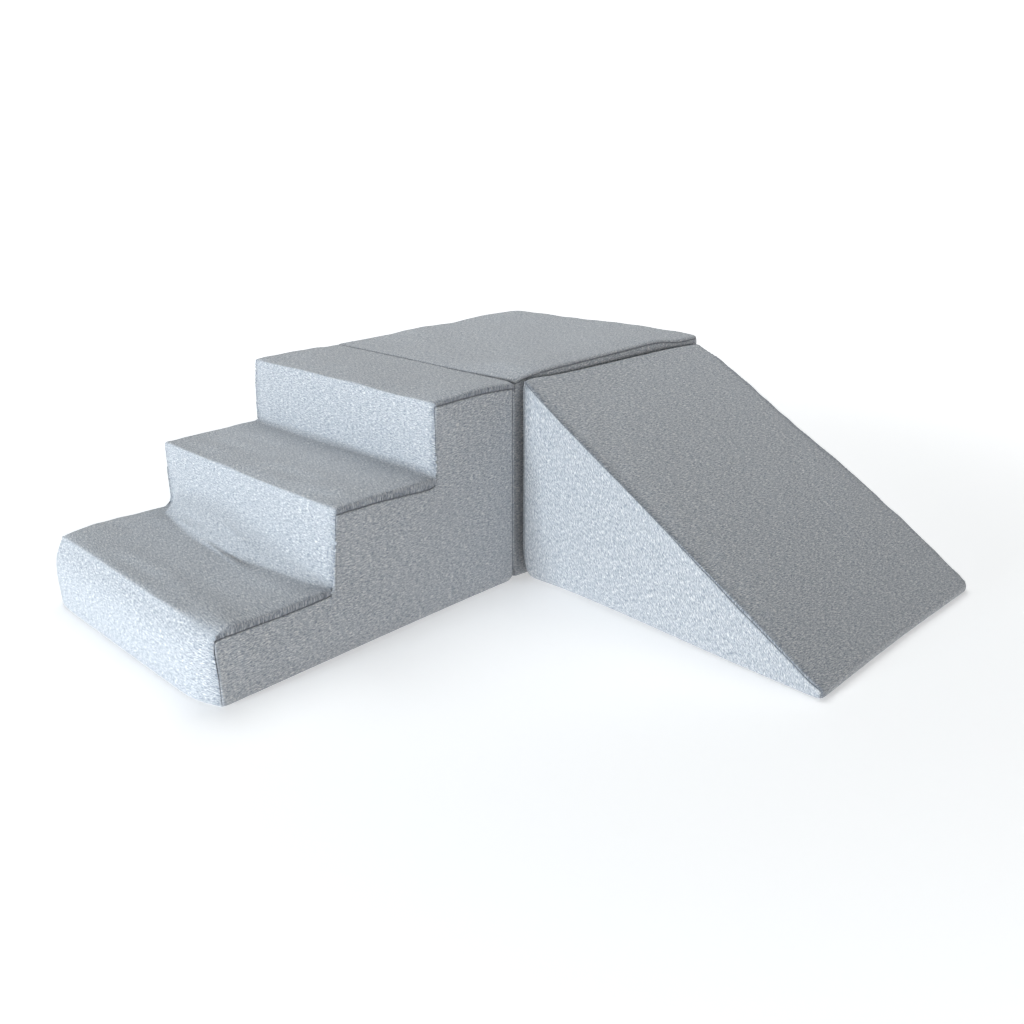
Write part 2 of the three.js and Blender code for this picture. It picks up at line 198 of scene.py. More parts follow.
# %% Cloth that spans an inner corner
Bridge = namedtuple("Bridge", "front top middle spread")
BRIDGES = [
    Bridge(FRONT_2, TOP_1, 60.0, 72.0),
    Bridge(FRONT_3, TOP_2, 140.0, 15.0),
]
BRIDGE_SLOPE = 1.0  # it climbs this far up the riser for each length out on the tread
BRIDGE_FADE, BRIDGE_ROUND = 210.0, 130.0
BRIDGE_LEAST = 60.0  # it closes over this length beside the side panels
BRIDGE_FOOT, BRIDGE_HEAD = 1.6, 9.0  # it meets the tread in a line and runs softly into the riser
BRIDGE_RISE = 40.0  # over this height its joint changes from the first to the second
BRIDGE_TOP = 100.0  # it reaches no higher above the tread


def bridge(p, corner):
    """A sloping plane from the tread to the riser; its spread falls off as e^(-distance / fade) across."""
    x, y, z = p[..., 0], p[..., 1], p[..., 2]
    away = np.hypot(y - corner.middle, BRIDGE_ROUND) - BRIDGE_ROUND
    spread = corner.spread * np.exp(-away / BRIDGE_FADE) * ease((STAIR_HALF - np.abs(y)) / BRIDGE_LEAST)
    plane = (BRIDGE_SLOPE * (corner.front - x - spread) + z - corner.top) / np.hypot(BRIDGE_SLOPE, 1)
    return np.maximum(plane, z - corner.top - BRIDGE_TOP)


# %% Forms of the blocks
def stairs_form(p):
    """Smooth union of three steps and the cloth across their corners, closed by sides, back and base."""
    x, y, z = p[..., 0], p[..., 1], p[..., 2]
    nook = softened(p, NOOK, STAIR_NOOKS)
    steps = smooth_max(FRONT_1 - x, z - TOP_1, softened(p, NOSES[0], STAIR_TRODDEN))
    for front, top, nose, corner in zip(STEP_FRONTS[1:], STEP_TOPS[1:], NOSES[1:], BRIDGES):
        steps = smooth_min(steps, smooth_max(front - x, z - top, nose), nook)
        head = ease((z - corner.top) / BRIDGE_RISE)
        steps = smooth_min(steps, bridge(p, corner), BRIDGE_FOOT + (BRIDGE_HEAD - BRIDGE_FOOT) * head)
    side = NEAR_EDGE + (FAR_EDGE - NEAR_EDGE) * ease(0.5 + y / EDGE_CHANGE)
    form = smooth_max(steps, np.abs(y) - STAIR_HALF, softened(p, side, STAIR_CORNERS))
    form = smooth_max(form, x - STAIR_BACK, softened(p, MATE, STAIR_BACK_CORNERS))
    return smooth_max(form, -z, softened(p, BASE, STAIR_FOOT))


def platform_form(p):
    """A box with firm edges towards the other blocks and softer ones on the far sides."""
    x, y, z = p[..., 0], p[..., 1], p[..., 2]
    side = NEAR_EDGE + (FAR_EDGE - NEAR_EDGE) * ease(0.5 + y / EDGE_CHANGE)
    outer = softened(p, side, PLATFORM_CORNERS)
    form = smooth_max(np.abs(y) - PLATFORM_DEPTH, x - PLATFORM_HALF, outer)
    form = smooth_max(form, z - PLATFORM_TOP, outer)
    form = smooth_max(form, -PLATFORM_HALF - x, softened(p, MATE, PLATFORM_CORNERS[2:]))
    return smooth_max(form, -z, BASE)


def slide_form(p):
    """A wedge under the ramp's plane, in front of its back, with a blunt toe."""
    x, y, z = p[..., 0], p[..., 1], p[..., 2]
    rise = (SLIDE_TOP - SLIDE_TOE) / SLIDE_RUN
    ramp = (z - SLIDE_TOP - rise * x) / np.hypot(1, rise)
    form = smooth_max(ramp, -SLIDE_RUN - x, TOE)
    form = smooth_max(form, np.abs(y) - SLIDE_HALF, softened(p, NEAR_EDGE, SLIDE_CORNERS))
    form = smooth_max(form, x, softened(p, MATE, SLIDE_CORNERS[:2]))
    return smooth_max(form, -z, softened(p, BASE, SLIDE_FOOT))


# %% [markdown]
# ## How the foam gives
# Foam that has been climbed on is never quite square. A sculptor would grab a corner and pull it softly.
# The same is done here with a few named grabs: a place, a move, and how far around it the foam follows.
# Nothing rises at the floor, and nothing moves around a zip, where the firm pieces lie.

# %% Soft grabs
Grab = namedtuple("Grab", "centre move reach powers", defaults=(2,))
STAIR_GRABS = [
    Grab((FRONT_1, 20, 0), (-23, 0, 0), (190, 290, 115), (8, 14, 8)),
    Grab((STAIR_BACK, -STAIR_HALF, TOP_3 / 2), (-5, 0, 0), (30, 60, 240), (2, 2, 8)),
    Grab((FRONT_1, -STAIR_HALF, TOP_1 - 15), (-5, 0, 3), (60, 60, 32)),
    Grab((FRONT_1 + 10, -STAIR_HALF + 20, TOP_1), (0, 0, 6), (60, 75, 50)),
    Grab((FRONT_1, 50, TOP_1), (0, 0, 8), (80, 280, 60), (2, 6, 2)),
    Grab((FRONT_1 + 120, STAIR_HALF, TOP_1), (0, 0, 12), (170, 220, 60)),
    Grab((FRONT_1 + 170, -STAIR_HALF, TOP_1), (0, 0, 4), (120, 100, 60)),
    Grab((FRONT_2, -STAIR_HALF, TOP_2), (5, 0, 0), (70, 120, 50)),
    Grab((FRONT_2, -STAIR_HALF, TOP_1 + 10), (-6, 0, 0), (50, 100, 45)),
    Grab((FRONT_2 + 40, 0, TOP_2), (0, 0, 5), (110, 400, 60)),
    Grab((FRONT_2 + 30, STAIR_HALF, TOP_2), (-3, 0, 0), (130, 200, 60)),
    Grab((FRONT_2 + 130, -STAIR_HALF, TOP_2), (0, 0, 4), (100, 110, 60)),
    Grab((FRONT_3, STAIR_HALF, TOP_3 - 90), (-12, 0, 0), (60, 200, 90)),
    Grab((FRONT_3, STAIR_HALF, TOP_3), (0, 0, -4), (90, 120, 60)),
    Grab((FRONT_3 + 125, -STAIR_HALF, TOP_3), (0, 0, 8), (90, 80, 60)),
    Grab((STAIR_BACK, STAIR_HALF, TOP_3), (0, 0, -5), (90, 150, 60)),
]
PLATFORM_GRABS = [
    Grab((-PLATFORM_HALF, PLATFORM_DEPTH, PLATFORM_TOP), (0, 0, -3), (120, 120, 60)),
    Grab((0, PLATFORM_DEPTH, PLATFORM_TOP), (0, 0, -2), (260, 100, 60)),
    Grab((PLATFORM_HALF, -PLATFORM_DEPTH + 60, PLATFORM_TOP), (2, 0, 10), (110, 200, 60)),
    Grab((PLATFORM_HALF, -PLATFORM_DEPTH, PLATFORM_TOP - 20), (9, -5, 0), (60, 60, 60)),
    Grab((-50, -PLATFORM_DEPTH, PLATFORM_TOP), (0, 0, 20), (245, 150, 120), (8, 2, 2)),
    Grab((-PLATFORM_HALF, -PLATFORM_DEPTH, PLATFORM_TOP / 2 - 10), (3, 14, 0), (45, 45, 215), (2, 2, 8)),
    Grab((0, -PLATFORM_DEPTH, PLATFORM_TOP / 2), (0, 6, 0), (330, 40, 205), (8, 2, 8)),
]
SLIDE_GRABS = [
    Grab((0, SLIDE_HALF, SLIDE_TOP), (0, 0, 5), (60, 260, 60)),
    Grab((0, SLIDE_HALF, SLIDE_TOP), (0, 2, 8), (60, 50, 60)),
    Grab((0, -SLIDE_HALF, SLIDE_TOP), (0, 0, -6), (60, 70, 60)),
    Grab((-10, SLIDE_HALF, SLIDE_TOP / 2), (0, 8, 0), (50, 50, 230)),
    Grab((-SLIDE_RUN * 0.6, -SLIDE_HALF, 180), (0, -3, 4), (220, 90, 90)),
    Grab((-SLIDE_RUN, 0, 10), (9, 0, 0), (50, 260, 60)),
]
GROUND = 90.0  # upward moves fade out below this height
ZIP_CALM = 34.0  # half the height of the quiet strip along a zip
ZIP_PAST, ZIP_FADE = 40.0, 20.0  # the strip runs this far past the chain, and fades over this length
ZIP_DEPTH, ZIP_DEPTH_FADE = 40.0, 30.0  # the same from the cover's face inwards
EDGE_CALM = 70.0  # width of the quiet strip beside an edge that meets another block
EDGE_LEAST = 0.15  # share of a wave's height that is left right beside such an edge
CROWN_REACH = 75.0  # a panel's crown is full this far from its edges


# %% [markdown]
# ## One block
# A block knows its form, how its own axes lie in the room, which of its faces stay flat because they lie
# on the floor or on a neighbour, where it sags, and where its cloth is creased.

# %% The block type
class Block:
    """A foam block in a cover. Its own axes: x towards its back, y across, z up, in millimetres."""

    def __init__(self, name, form, low, high, flat_faces, grabs, creases, zip_side, seed):
        self.name = name
        self.form = form
        self.low, self.high = low, high
        self.half = high[1]
        self.flat_faces = [np.array(face, float) for face in flat_faces]
        self.grabs = grabs
        self.creases = creases
        self.zip_side = zip_side
        self.seed = seed
        self.origin = np.zeros(3)
        self.axes = np.eye(3)
        coils = [node_box(f"{name}_zip_coil_{row}") for row in ("upper", "lower")]
        self.zip_height = (coils[0][0][2] + coils[1][1][2]) / 2
        self.zip_box = coils[0]

    def turn(self, origin, along, across):
        """Sets the block's own x and y axes and where they start."""
        self.origin[:2] = origin
        self.axes[0, :2] = along
        self.axes[1, :2] = across

    def place(self, p):
        """From the block's own axes to the room."""
        return p @ self.axes + self.origin

    def own(self, p):
        """From the room to the block's own axes."""
        return (p - self.origin) @ self.axes.T

    def zip_span(self):
        """Start and end of the zip's chain along the block's own x."""
        ends = self.own((self.zip_box[0] + self.zip_box[1]) / 2)[0]
        half = max((self.zip_box[1] - self.zip_box[0])[:2]) / 2
        return ends - half, ends + half

    def calm(self, p):
        """1 along the zip, 0 elsewhere: e^-((height above the zip / calm strip)^4) on the zip's side."""
        start, end = self.zip_span()
        strip = np.exp(-(((p[..., 2] - self.zip_height) / ZIP_CALM) ** 4))
        for past in (p[..., 0] - start, end - p[..., 0]):
            strip = strip * ease((past + ZIP_PAST) / ZIP_FADE)
        return strip * ease((p[..., 1] * self.zip_side - self.half + ZIP_DEPTH) / ZIP_DEPTH_FADE)

    def freedom(self, p, normal):
        """1 where the cloth may swell, 0 on and beside a face that stays flat, and along the zip."""
        free = 1 - self.calm(p)
        for face in self.flat_faces:
            beside = ease((self.reach(face) - p @ face) / EDGE_CALM)
            free = free * (1 - np.clip(normal @ face, 0, 1)) * (EDGE_LEAST + (1 - EDGE_LEAST) * beside)
        return free

    def reach(self, face):
        """How far the block reaches in the direction of one of its flat faces."""
        return float((np.array(self.low if face.sum() < 0 else self.high) * face).sum())

    def fullness(self, p, normal):
        """0 at an edge and 1 where none is near: how much foam lies around a point CROWN_REACH below."""
        return ease(-self.form(p - normal * CROWN_REACH) / CROWN_REACH)

    def give(self, p):
        """Adds every grab: its move times its swell; upward moves fade out towards the floor."""
        moved = p.copy()
        hold = ease(p[..., 2] / GROUND)
        free = 1 - self.calm(p)
        for grab in self.grabs:
            weight = free * swell(p, grab.centre, grab.reach, grab.powers)
            for axis, move in enumerate(grab.move):
                moved[..., axis] += weight * move * (hold if axis == 2 else 1)
        return moved


# %% [markdown]
# ## Waves, gathers and creases
# Three kinds of unevenness make a cover look sewn. Long, low waves come from the foam and the stretch.
# Gathers are small ripples square to a seam, where the machine has drawn the knit in. Creases are single
# ridges that run out of an inner corner or across it. The waves and gathers come from seeded random
# numbers, so every run is alike, and each crease is listed one by one.

# %% Waves of the cloth
def waves(p, length, seed, count=16):
    """Sum of plane waves in random directions with lengths around one value, scaled to a spread of 1."""
    rng = np.random.default_rng(seed)
    direction = rng.normal(size=(count, 3))
    direction /= np.linalg.norm(direction, axis=1)[:, None]
    lengths = length * rng.uniform(0.75, 1.35, count)
    phases = rng.uniform(0, 2 * np.pi, count)
    angle = (p @ direction.T) * (2 * np.pi / lengths) + phases
    return np.sin(angle).sum(-1) * np.sqrt(2 / count)


def ripple(along, seed=71, count=12):
    """Fine waves along a seam, 6 to 13 mm long, that come and go over 40 to 120 mm; spread about 1."""
    rng = np.random.default_rng(seed)
    fine = 2 * np.pi / rng.uniform(6.0, 13.0, count)
    slow = 2 * np.pi / rng.uniform(40.0, 120.0, 4)
    fine_wave = np.sin(along[..., None] * fine + rng.uniform(0, 2 * np.pi, count)).sum(-1)
    slow_wave = np.sin(along[..., None] * slow + rng.uniform(0, 2 * np.pi, 4)).sum(-1)
    return fine_wave * np.sqrt(2 / count) * (0.7 + 0.25 * slow_wave)


# %% A single crease
Crease = namedtuple("Crease", "start end height width")
CREASE_RISE = 0.35  # power of its rise: the lower, the sooner it has its height
CREASE_SCALE = 1.6  # brings it to about three quarters of its height at its highest place
HOLLOW = -0.8  # every other crease of a fan is a hollow, a little less deep than the ridges are high


def crease_height(p, crease):
    """height e^-((distance / width)^2) along a straight run that rises fast at its start and fades out."""
    start = np.array(crease.start, float)
    run = np.array(crease.end, float) - start
    share = np.clip(((p - start) @ run) / (run @ run), 0, 1)
    gap = np.linalg.norm(p - start - share[..., None] * run, axis=-1)
    fade = share**CREASE_RISE * (1 - share) * CREASE_SCALE
    return crease.height * fade * np.exp(-((gap / crease.width) ** 2))


def fan(corner, angles, lengths, height, width, plane):
    """Creases that spread from a corner at angles, in degrees, in a plane of two axes."""
    first, second = np.array(plane, float)
    corner = np.array(corner, float)
    ridges = []
    for count, (angle, length) in enumerate(zip(angles, lengths)):
        way = first * np.cos(np.radians(angle)) + second * np.sin(np.radians(angle))
        ridges.append(Crease(corner, corner + way * length, height * (HOLLOW if count % 2 else 1), width))
    return ridges


RISER = ((0, 1, 0), (0, 0, 1))  # across the steps, and up
TREAD = ((0, 1, 0), (-1, 0, 0))  # across the steps, and towards the front
STAIR_CREASES = []
for step in (1, 2):
    near_nook = (STEP_FRONTS[step], -STAIR_HALF, STEP_TOPS[step - 1])
    STAIR_CREASES += fan(near_nook, (20, 36, 52, 66, 80), (80, 62, 74, 48, 40), 3.2, 3.6, RISER)
    STAIR_CREASES += fan(near_nook, (14, 34, 56), (70, 55, 40), 2.0, 4.0, TREAD)
foot, tread = FRONT_2, TOP_1
STAIR_CREASES += [
    Crease((foot - 64, 50, tread + 4), (foot - 78, -140, tread), 5.0, 5.0),
    Crease((foot - 54, 30, tread + 4), (foot - 68, -140, tread), -4.0, 5.0),
    Crease((foot - 50, 190, tread + 10), (foot - 56, 40, tread + 10), 2.4, 5.0),
    Crease((foot - 40, 170, tread + 24), (foot - 44, 20, tread + 22), -1.8, 6.0),
    Crease((foot - 26, 40, tread + 40), (foot - 40, -110, tread + 22), 1.8, 6.0),
    Crease((foot, 280, tread + 60), (foot, 150, tread + 44), 1.2, 7.0),
    Crease((FRONT_3, 265, TOP_2 + 14), (FRONT_3, 130, TOP_2 + 9), 2.0, 4.5),
    Crease((FRONT_3, 285, TOP_2 + 27), (FRONT_3, 150, TOP_2 + 22), -1.6, 5.0),
    Crease((FRONT_3, 240, TOP_2 + 40), (FRONT_3, 120, TOP_2 + 33), 1.2, 5.0),
]

# %% Make the three blocks
BACKWARDS, DOWN = (1, 0, 0), (0, 0, -1)
stairs = Block(
    "stairs", stairs_form, (FRONT_1, -STAIR_HALF, 0.0), (STAIR_BACK, STAIR_HALF, TOP_3),
    [BACKWARDS, DOWN], STAIR_GRABS, STAIR_CREASES, 1, 11,
)
platform = Block(
    "platform", platform_form, (-PLATFORM_HALF, -PLATFORM_DEPTH, 0.0),
    (PLATFORM_HALF, PLATFORM_DEPTH, PLATFORM_TOP),
    [(-1, 0, 0), (0, -1, 0), DOWN], PLATFORM_GRABS, [], 1, 23,
)
slide = Block(
    "slide", slide_form, (-SLIDE_RUN, -SLIDE_HALF, 0.0), (0.0, SLIDE_HALF, SLIDE_TOP),
    [BACKWARDS, DOWN], SLIDE_GRABS, [], -1, 37,
)
slide.turn(slide_origin, slide_along, slide_across)
for block in (stairs, platform, slide):
    print(block.name, "zip from and to", block.zip_span(), "at height", block.zip_height)

# %% [markdown]
# ## A sewn panel
# Each panel of a cover is a grid over its own two directions. It starts on the sharp block, is drawn onto
# the soft form, then gets its height: a slight crown, the waves and creases, gathers near its seams, and a
# narrow groove where it dives into the seam. The last row turns inwards as the seam allowance does.
# Two panels that share a whole seam work out the same ripple from the same length along it.
# A Solidify modifier gives the cloth its thickness, inwards.

# %% Grids that are fine near their edges
GROW = 1.25


def graded(start, end, fine, coarse):
    """Places from start to end, fine apart at both ends, each step 1.25 times the last, up to coarse."""
    half = (end - start) / 2
    steps = np.minimum(fine * GROW ** np.arange(600.0), coarse)
    marks = np.concatenate([[0], np.cumsum(steps)])
    marks = marks[: np.searchsorted(marks, half) + 1]
    marks *= half / marks[-1]
    return np.concatenate([start + marks, (end - marks[::-1])[1:]])


def even(start, end, step):
    """Places from start to end about one step apart."""
    return np.linspace(start, end, int(round(abs(end - start) / step)) + 1)


# %% Put a grid into a mesh
def grid_faces(rows, columns):
    """Four corners of each cell of a grid whose points are counted row by row."""
    first = np.arange(rows * columns).reshape(rows, columns)
    corners = (first[:-1, :-1], first[1:, :-1], first[1:, 1:], first[:-1, 1:])
    return np.stack(corners, axis=-1).reshape(-1, 4)


def new_object(name, points, faces):
    """A smooth mesh object from points in millimetres and faces given by their points' numbers."""
    mesh = bpy.data.meshes.new(name)
    mesh.from_pydata((points.reshape(-1, 3) * MM).tolist(), [], faces)
    mesh.polygons.foreach_set("use_smooth", np.full(len(mesh.polygons), True))
    piece = bpy.data.objects.new(name, mesh)
    bpy.context.scene.collection.objects.link(piece)
    return piece


def merge_doubles(piece, apart):
    """Makes one point of all that lie within a distance in millimetres."""
    work = bmesh.new()
    work.from_mesh(piece.data)
    bmesh.ops.remove_doubles(work, verts=work.verts, dist=apart * MM)
    work.to_mesh(piece.data)
    work.free()


def turn_outwards(piece):
    """Turns every face of a closed piece outwards."""
    work = bmesh.new()
    work.from_mesh(piece.data)
    bmesh.ops.recalc_face_normals(work, faces=work.faces)
    work.to_mesh(piece.data)
    work.free()


def thicken(piece, thickness):
    """A wall inwards from the mesh, in millimetres."""
    wall = piece.modifiers.new("thickness", "SOLIDIFY")
    wall.thickness = thickness * MM
    wall.offset = -1


def stand_for(piece, block, node):
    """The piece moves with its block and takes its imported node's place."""
    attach(piece, block.name)
    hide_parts(node)


def facing_out(points, normals, faces):
    """The faces, turned round if on the whole they look against the normals."""
    p, n = points.reshape(-1, 3), normals.reshape(-1, 3)
    cross = np.cross(p[faces[:, 2]] - p[faces[:, 0]], p[faces[:, 3]] - p[faces[:, 1]])
    return faces if (cross * n[faces[:, 0]]).sum() > 0 else faces[:, ::-1]


def add_uv(piece, flat):
    """A UV map in metres from each point's place on the flat cloth, in millimetres."""
    mesh = piece.data
    corner = np.empty(len(mesh.loops), int)
    mesh.loops.foreach_get("vertex_index", corner)
    mesh.uv_layers.new(name="cloth").data.foreach_set("uv", (flat.reshape(-1, 2) * MM)[corner].ravel())


def add_value(piece, name, values):
    """A number for each point, which a material can read."""
    layer = piece.data.attributes.new(name, "FLOAT", "POINT")
    layer.data.foreach_set("value", values.astype(np.float32).ravel())


# %% The cloth's own measures
CLOTH = 2.0  # jersey with its backing
LONG_WAVE, LONG_HEIGHT = 210.0, 1.0
SHORT_WAVE, SHORT_HEIGHT = 62.0, 0.45
GROOVE_WIDTH = 1.3
SEAM_LINE = 1.8  # width of the painted shade that lies in a seam
GATHER_REACH = 15.0  # the drawn-in strip beside a gathered seam, which gets painted shade in its folds
DEEP, WIDE = 1.0, 7.0  # a deeper edge gets a dark line of painted shade, and gathers that reach farther leave a drawn-in strip with painted shade in its folds
SEAM_MIX = np.array([1.7, 2.9, 4.3])  # three unlike numbers that give each seam its own ripples
Edge = namedtuple("Edge", "depth hem gather reach")
SEAM = Edge(depth=1.8, hem=3.5, gather=0.4, reach=6.0)
PLAIN_SEAM = Edge(depth=1.7, hem=3.0, gather=0.15, reach=5.0)
LIP = Edge(depth=0.2, hem=0.4, gather=0.0, reach=5.0)  # folded edge beside a zip


def lengths_from(p, axis):
    """Distance along the grid's own lines from the first row or column."""
    steps = np.linalg.norm(np.diff(p, axis=axis), axis=-1)
    first = np.zeros_like(np.take(steps, [0], axis=axis))
    return np.concatenate([first, np.cumsum(steps, axis=axis)], axis=axis)


def edge_rows(q, axis, last):
    """Length along one edge of the grid, shifted by where the edge lies, so that seams differ."""
    row = np.take(q, [-1 if last else 0], axis=axis)
    shift = (row.reshape(-1, 3)[0] + row.reshape(-1, 3)[-1]) @ SEAM_MIX
    return lengths_from(row, 1 - axis) + shift


# %% Sew one panel
def cloth_height(block, p, normal):
    """Long and short waves and creases, faded where the block says the cloth lies flat."""
    height = LONG_HEIGHT * waves(p, LONG_WAVE, block.seed)
    height += SHORT_HEIGHT * waves(p, SHORT_WAVE, block.seed + 1)
    for crease in block.creases:
        height += crease_height(p, crease)
    return height * block.freedom(p, normal)


def sewn_panel(block, node, surface, a, b, edges, crown=2.0, turn=0.0):
    """A panel of a cover. surface(a, b) gives points and flat cloth; turn is the knit's angle in degrees."""
    first, second = np.meshgrid(a, b, indexing="ij")
    q, flat = surface(first, second)
    p, normal = settle(block.form, q)
    height = cloth_height(block, p, normal)
    rise = crown * block.freedom(p, normal) * block.fullness(p, normal)
    sink, painted_seam_shade, gathered = (np.zeros_like(height) for _ in range(3))
    for edge, axis, last in zip(edges, (0, 0, 1, 1), (False, True, False, True)):
        run = lengths_from(q, axis)
        away = np.take(run, [-1], axis=axis) - run if last else run
        sink = np.maximum(sink, edge.depth * np.exp(-away / GROOVE_WIDTH))
        # Mask for painted shade: a dark line along each deep seam, where its crevice lies in shade.
        painted_seam_shade = np.maximum(painted_seam_shade, np.exp(-((away / SEAM_LINE) ** 2)) * (edge.depth > DEEP))
        # Mask for painted shade: the drawn-in strip beside a gathered seam is darkened in its folds.
        gathered = np.maximum(gathered, np.exp(-((away / GATHER_REACH) ** 2)) * (edge.reach > WIDE))
        height = height + edge.gather * ripple(edge_rows(q, axis, last)) * np.exp(-away / edge.reach)
    p = p + normal * (height + rise - sink)[..., None]
    p = np.pad(block.give(p), ((1, 1), (1, 1), (0, 0)), mode="edge")
    normal = np.pad(normal, ((1, 1), (1, 1), (0, 0)), mode="edge")
    for row, edge in zip((np.s_[0, :], np.s_[-1, :], np.s_[:, 0], np.s_[:, -1]), edges):
        p[row] -= normal[row] * edge.hem
    points = block.place(p)
    faces = facing_out(points, normal @ block.axes, grid_faces(*p.shape[:2]))
    piece = new_object(node + "_cloth", points, faces.tolist())
    turn = np.radians(turn)
    lean = np.array([[np.cos(turn), -np.sin(turn)], [np.sin(turn), np.cos(turn)]])
    add_uv(piece, np.pad(flat, ((1, 1), (1, 1), (0, 0)), mode="edge") @ lean)
    # The material reads these to paint shade: a dark line in the seam, and darker folds in the gathered
    # strip.
    add_value(piece, "seam", np.pad(painted_seam_shade, 1, mode="edge"))
    add_value(piece, "gathers", np.pad(gathered, 1, mode="edge"))
    thicken(piece, CLOTH)
    stand_for(piece, block, node)
    covers.append(piece)
    print(node, "grid", p.shape[:2], "stands off its form by", round(float((height + rise).max()), 2), "mm")


covers = []

# %% [markdown]
# ## Bands and side panels
# The steps and the slide are cut alike. One long band runs over the front and every tread or down the
# ramp, and two side panels are sewn to its edges. The band is tight, so it pulls its seams over the edge
# onto the side: one to two centimetres of band show below each tread, and next to nothing beside a
# riser. So the seam's path is the profile, let down by an amount that changes along it.

# %% Follow a profile
def along(points, s):
    """Point on a broken line at length s from its start."""
    points = np.array(points, float)
    marks = np.concatenate([[0], np.cumsum(np.linalg.norm(np.diff(points, axis=0), axis=1))])
    return np.stack([np.interp(s, marks, points[:, i]) for i in range(points.shape[1])], axis=-1)


def path_length(points):
    """Length of a broken line."""
    return float(np.linalg.norm(np.diff(np.array(points, float), axis=0), axis=1).sum())


# %% Profiles of the steps and the slide
STEP_PROFILE = [(FRONT_1, 0.0)]
for index, (front, top) in enumerate(zip(STEP_FRONTS, STEP_TOPS)):
    STEP_PROFILE.append((front, top))
    STEP_PROFILE.append(((STEP_FRONTS + [STAIR_BACK])[index + 1], top))
SLIDE_PROFILE = [(-SLIDE_RUN, 0.0), (-SLIDE_RUN, SLIDE_TOE), (0.0, SLIDE_TOP)]
Strip = namedtuple("Strip", "nose back turn")  # band below a tread at its nose and back; its corner's radius
STRIPS = (Strip(19.0, 9.5, 15.0), Strip(12.0, 20.0, 20.0), Strip(7.0, 12.0, 0.01))
RISER_INSET, NOSE_INSET = 2.0, 3.5  # the seam behind a riser's face, and where it turns at the nose
NOSE_TURN = 6.0  # length over which it turns an outer corner
ARC_SHARE = 0.293  # 1 - cos 45: how far an arc's middle lies inside its corner, as a share of the radius
NOSE_FALL = 1.3  # the seam climbs from a nose's drop to the riser's edge over this many drops
FOOT_FALL = 0.6  # and at a riser's foot over this share of the corner's radius
RAMP_DROP, RAMP_INSET = 7.0, 0.8
RAMP_HIGH = 0.66  # share of the slide's profile above which the seam lies on the edge
RAMP_CHANGE = 0.45  # share of it over which the seam comes down
TOE_RISE = 40.0  # length over which the seam leaves the toe


def fading(way, length):
    """e^(-way / length), and 1 before the start."""
    return np.exp(-np.maximum(way, 0) / length)


def tread_seam(here, left, strip):
    """Drop and inset beside a tread: its strip, which turns up towards the inner corner behind it."""
    drop = strip.nose + (strip.back - strip.nose) * here / (here + left)
    closing = fading(left, strip.turn / 2)
    drop = drop - ARC_SHARE * strip.turn * closing
    return drop, NOSE_INSET * fading(here, NOSE_TURN) + (RISER_INSET - ARC_SHARE * strip.turn) * closing


def riser_seam(here, left, above, below):
    """Drop and inset beside a riser: the corner's other half at its foot, and the nose's drop at its top."""
    drop = above.nose * np.exp(-((left / (NOSE_FALL * above.nose)) ** 2))
    inset = RISER_INSET + (NOSE_INSET - RISER_INSET) * fading(left, NOSE_TURN)
    if below:
        drop += (below.back - ARC_SHARE * below.turn) * fading(here, FOOT_FALL * below.turn)
        inset -= ARC_SHARE * below.turn * fading(here, below.turn / 2)
    return drop, inset


def step_seam(s):
    """How the seam lies off the steps' profile: below treads by their strip, and just behind risers."""
    drop, inset, mark = np.zeros_like(s), np.zeros_like(s), 0.0
    for index, (start, end) in enumerate(zip(STEP_PROFILE[:-1], STEP_PROFILE[1:])):
        length, step = path_length([start, end]), index // 2
        here, left = s - mark, mark + length - s
        if index % 2:
            strip, behind = tread_seam(here, left, STRIPS[step])
        else:
            strip, behind = riser_seam(here, left, STRIPS[step], STRIPS[step - 1] if step else None)
        inside = (here >= 0) & (left >= 0)
        drop, inset = np.where(inside, strip, drop), np.where(inside, behind, inset)
        mark += length
    return np.stack([inset, -drop], axis=-1)


def ramp_seam(s):
    """How the seam lies off the slide's profile: on the edge high up, and below it towards the toe."""
    total = path_length(SLIDE_PROFILE)
    low = ease((RAMP_HIGH * total - s) / (RAMP_CHANGE * total))
    drop = (RAMP_INSET + (RAMP_DROP - RAMP_INSET) * low) * ease((s - SLIDE_TOE) / TOE_RISE)
    return np.stack([np.zeros_like(s), -drop], axis=-1)


# %% Surfaces of a band and of a side panel
def band_surface(profile, seam, half):
    """A surface of (length along the profile, share across from -1 to 1) that wraps down both sides."""

    def surface(s, share):
        on_profile = along(profile, s)
        fall = seam(s)
        wrap = np.linalg.norm(fall, axis=-1)
        across = share * (half + wrap)
        over = np.clip((np.abs(across) - half) / np.maximum(wrap, 1e-6), 0, 1)
        xz = on_profile + over[..., None] * fall
        q = np.stack([xz[..., 0], np.clip(across, -half, half), xz[..., 1]], axis=-1)
        return q, np.stack([across, s], axis=-1)

    return surface


def side_surface(profile, seam, y, lower=None, cut=0.0):
    """A surface of (length along the profile, share from its lower edge up to the seam) on a side."""
    start, total = path_length(profile[:2]), path_length(profile) - cut

    def surface(s, share):
        top = along(profile, s) + seam(s)
        foot_x = profile[0][0] + (profile[-1][0] - cut - profile[0][0]) * (s - start) / (total - start)
        foot_z = lower(foot_x) if lower else np.zeros_like(foot_x)
        x = foot_x + share * (top[..., 0] - foot_x)
        z = foot_z + share * (top[..., 1] - foot_z)
        return np.stack([x, np.full_like(x, y), z], axis=-1), np.stack([x, z], axis=-1)

    return surface


BACK_TURN = 9.0  # the back panel comes this far round the near edge, up to the band
BACK_PAST, BACK_FADE = 3.0, 8.0  # it begins this far above the band's foot, and takes this height to do so


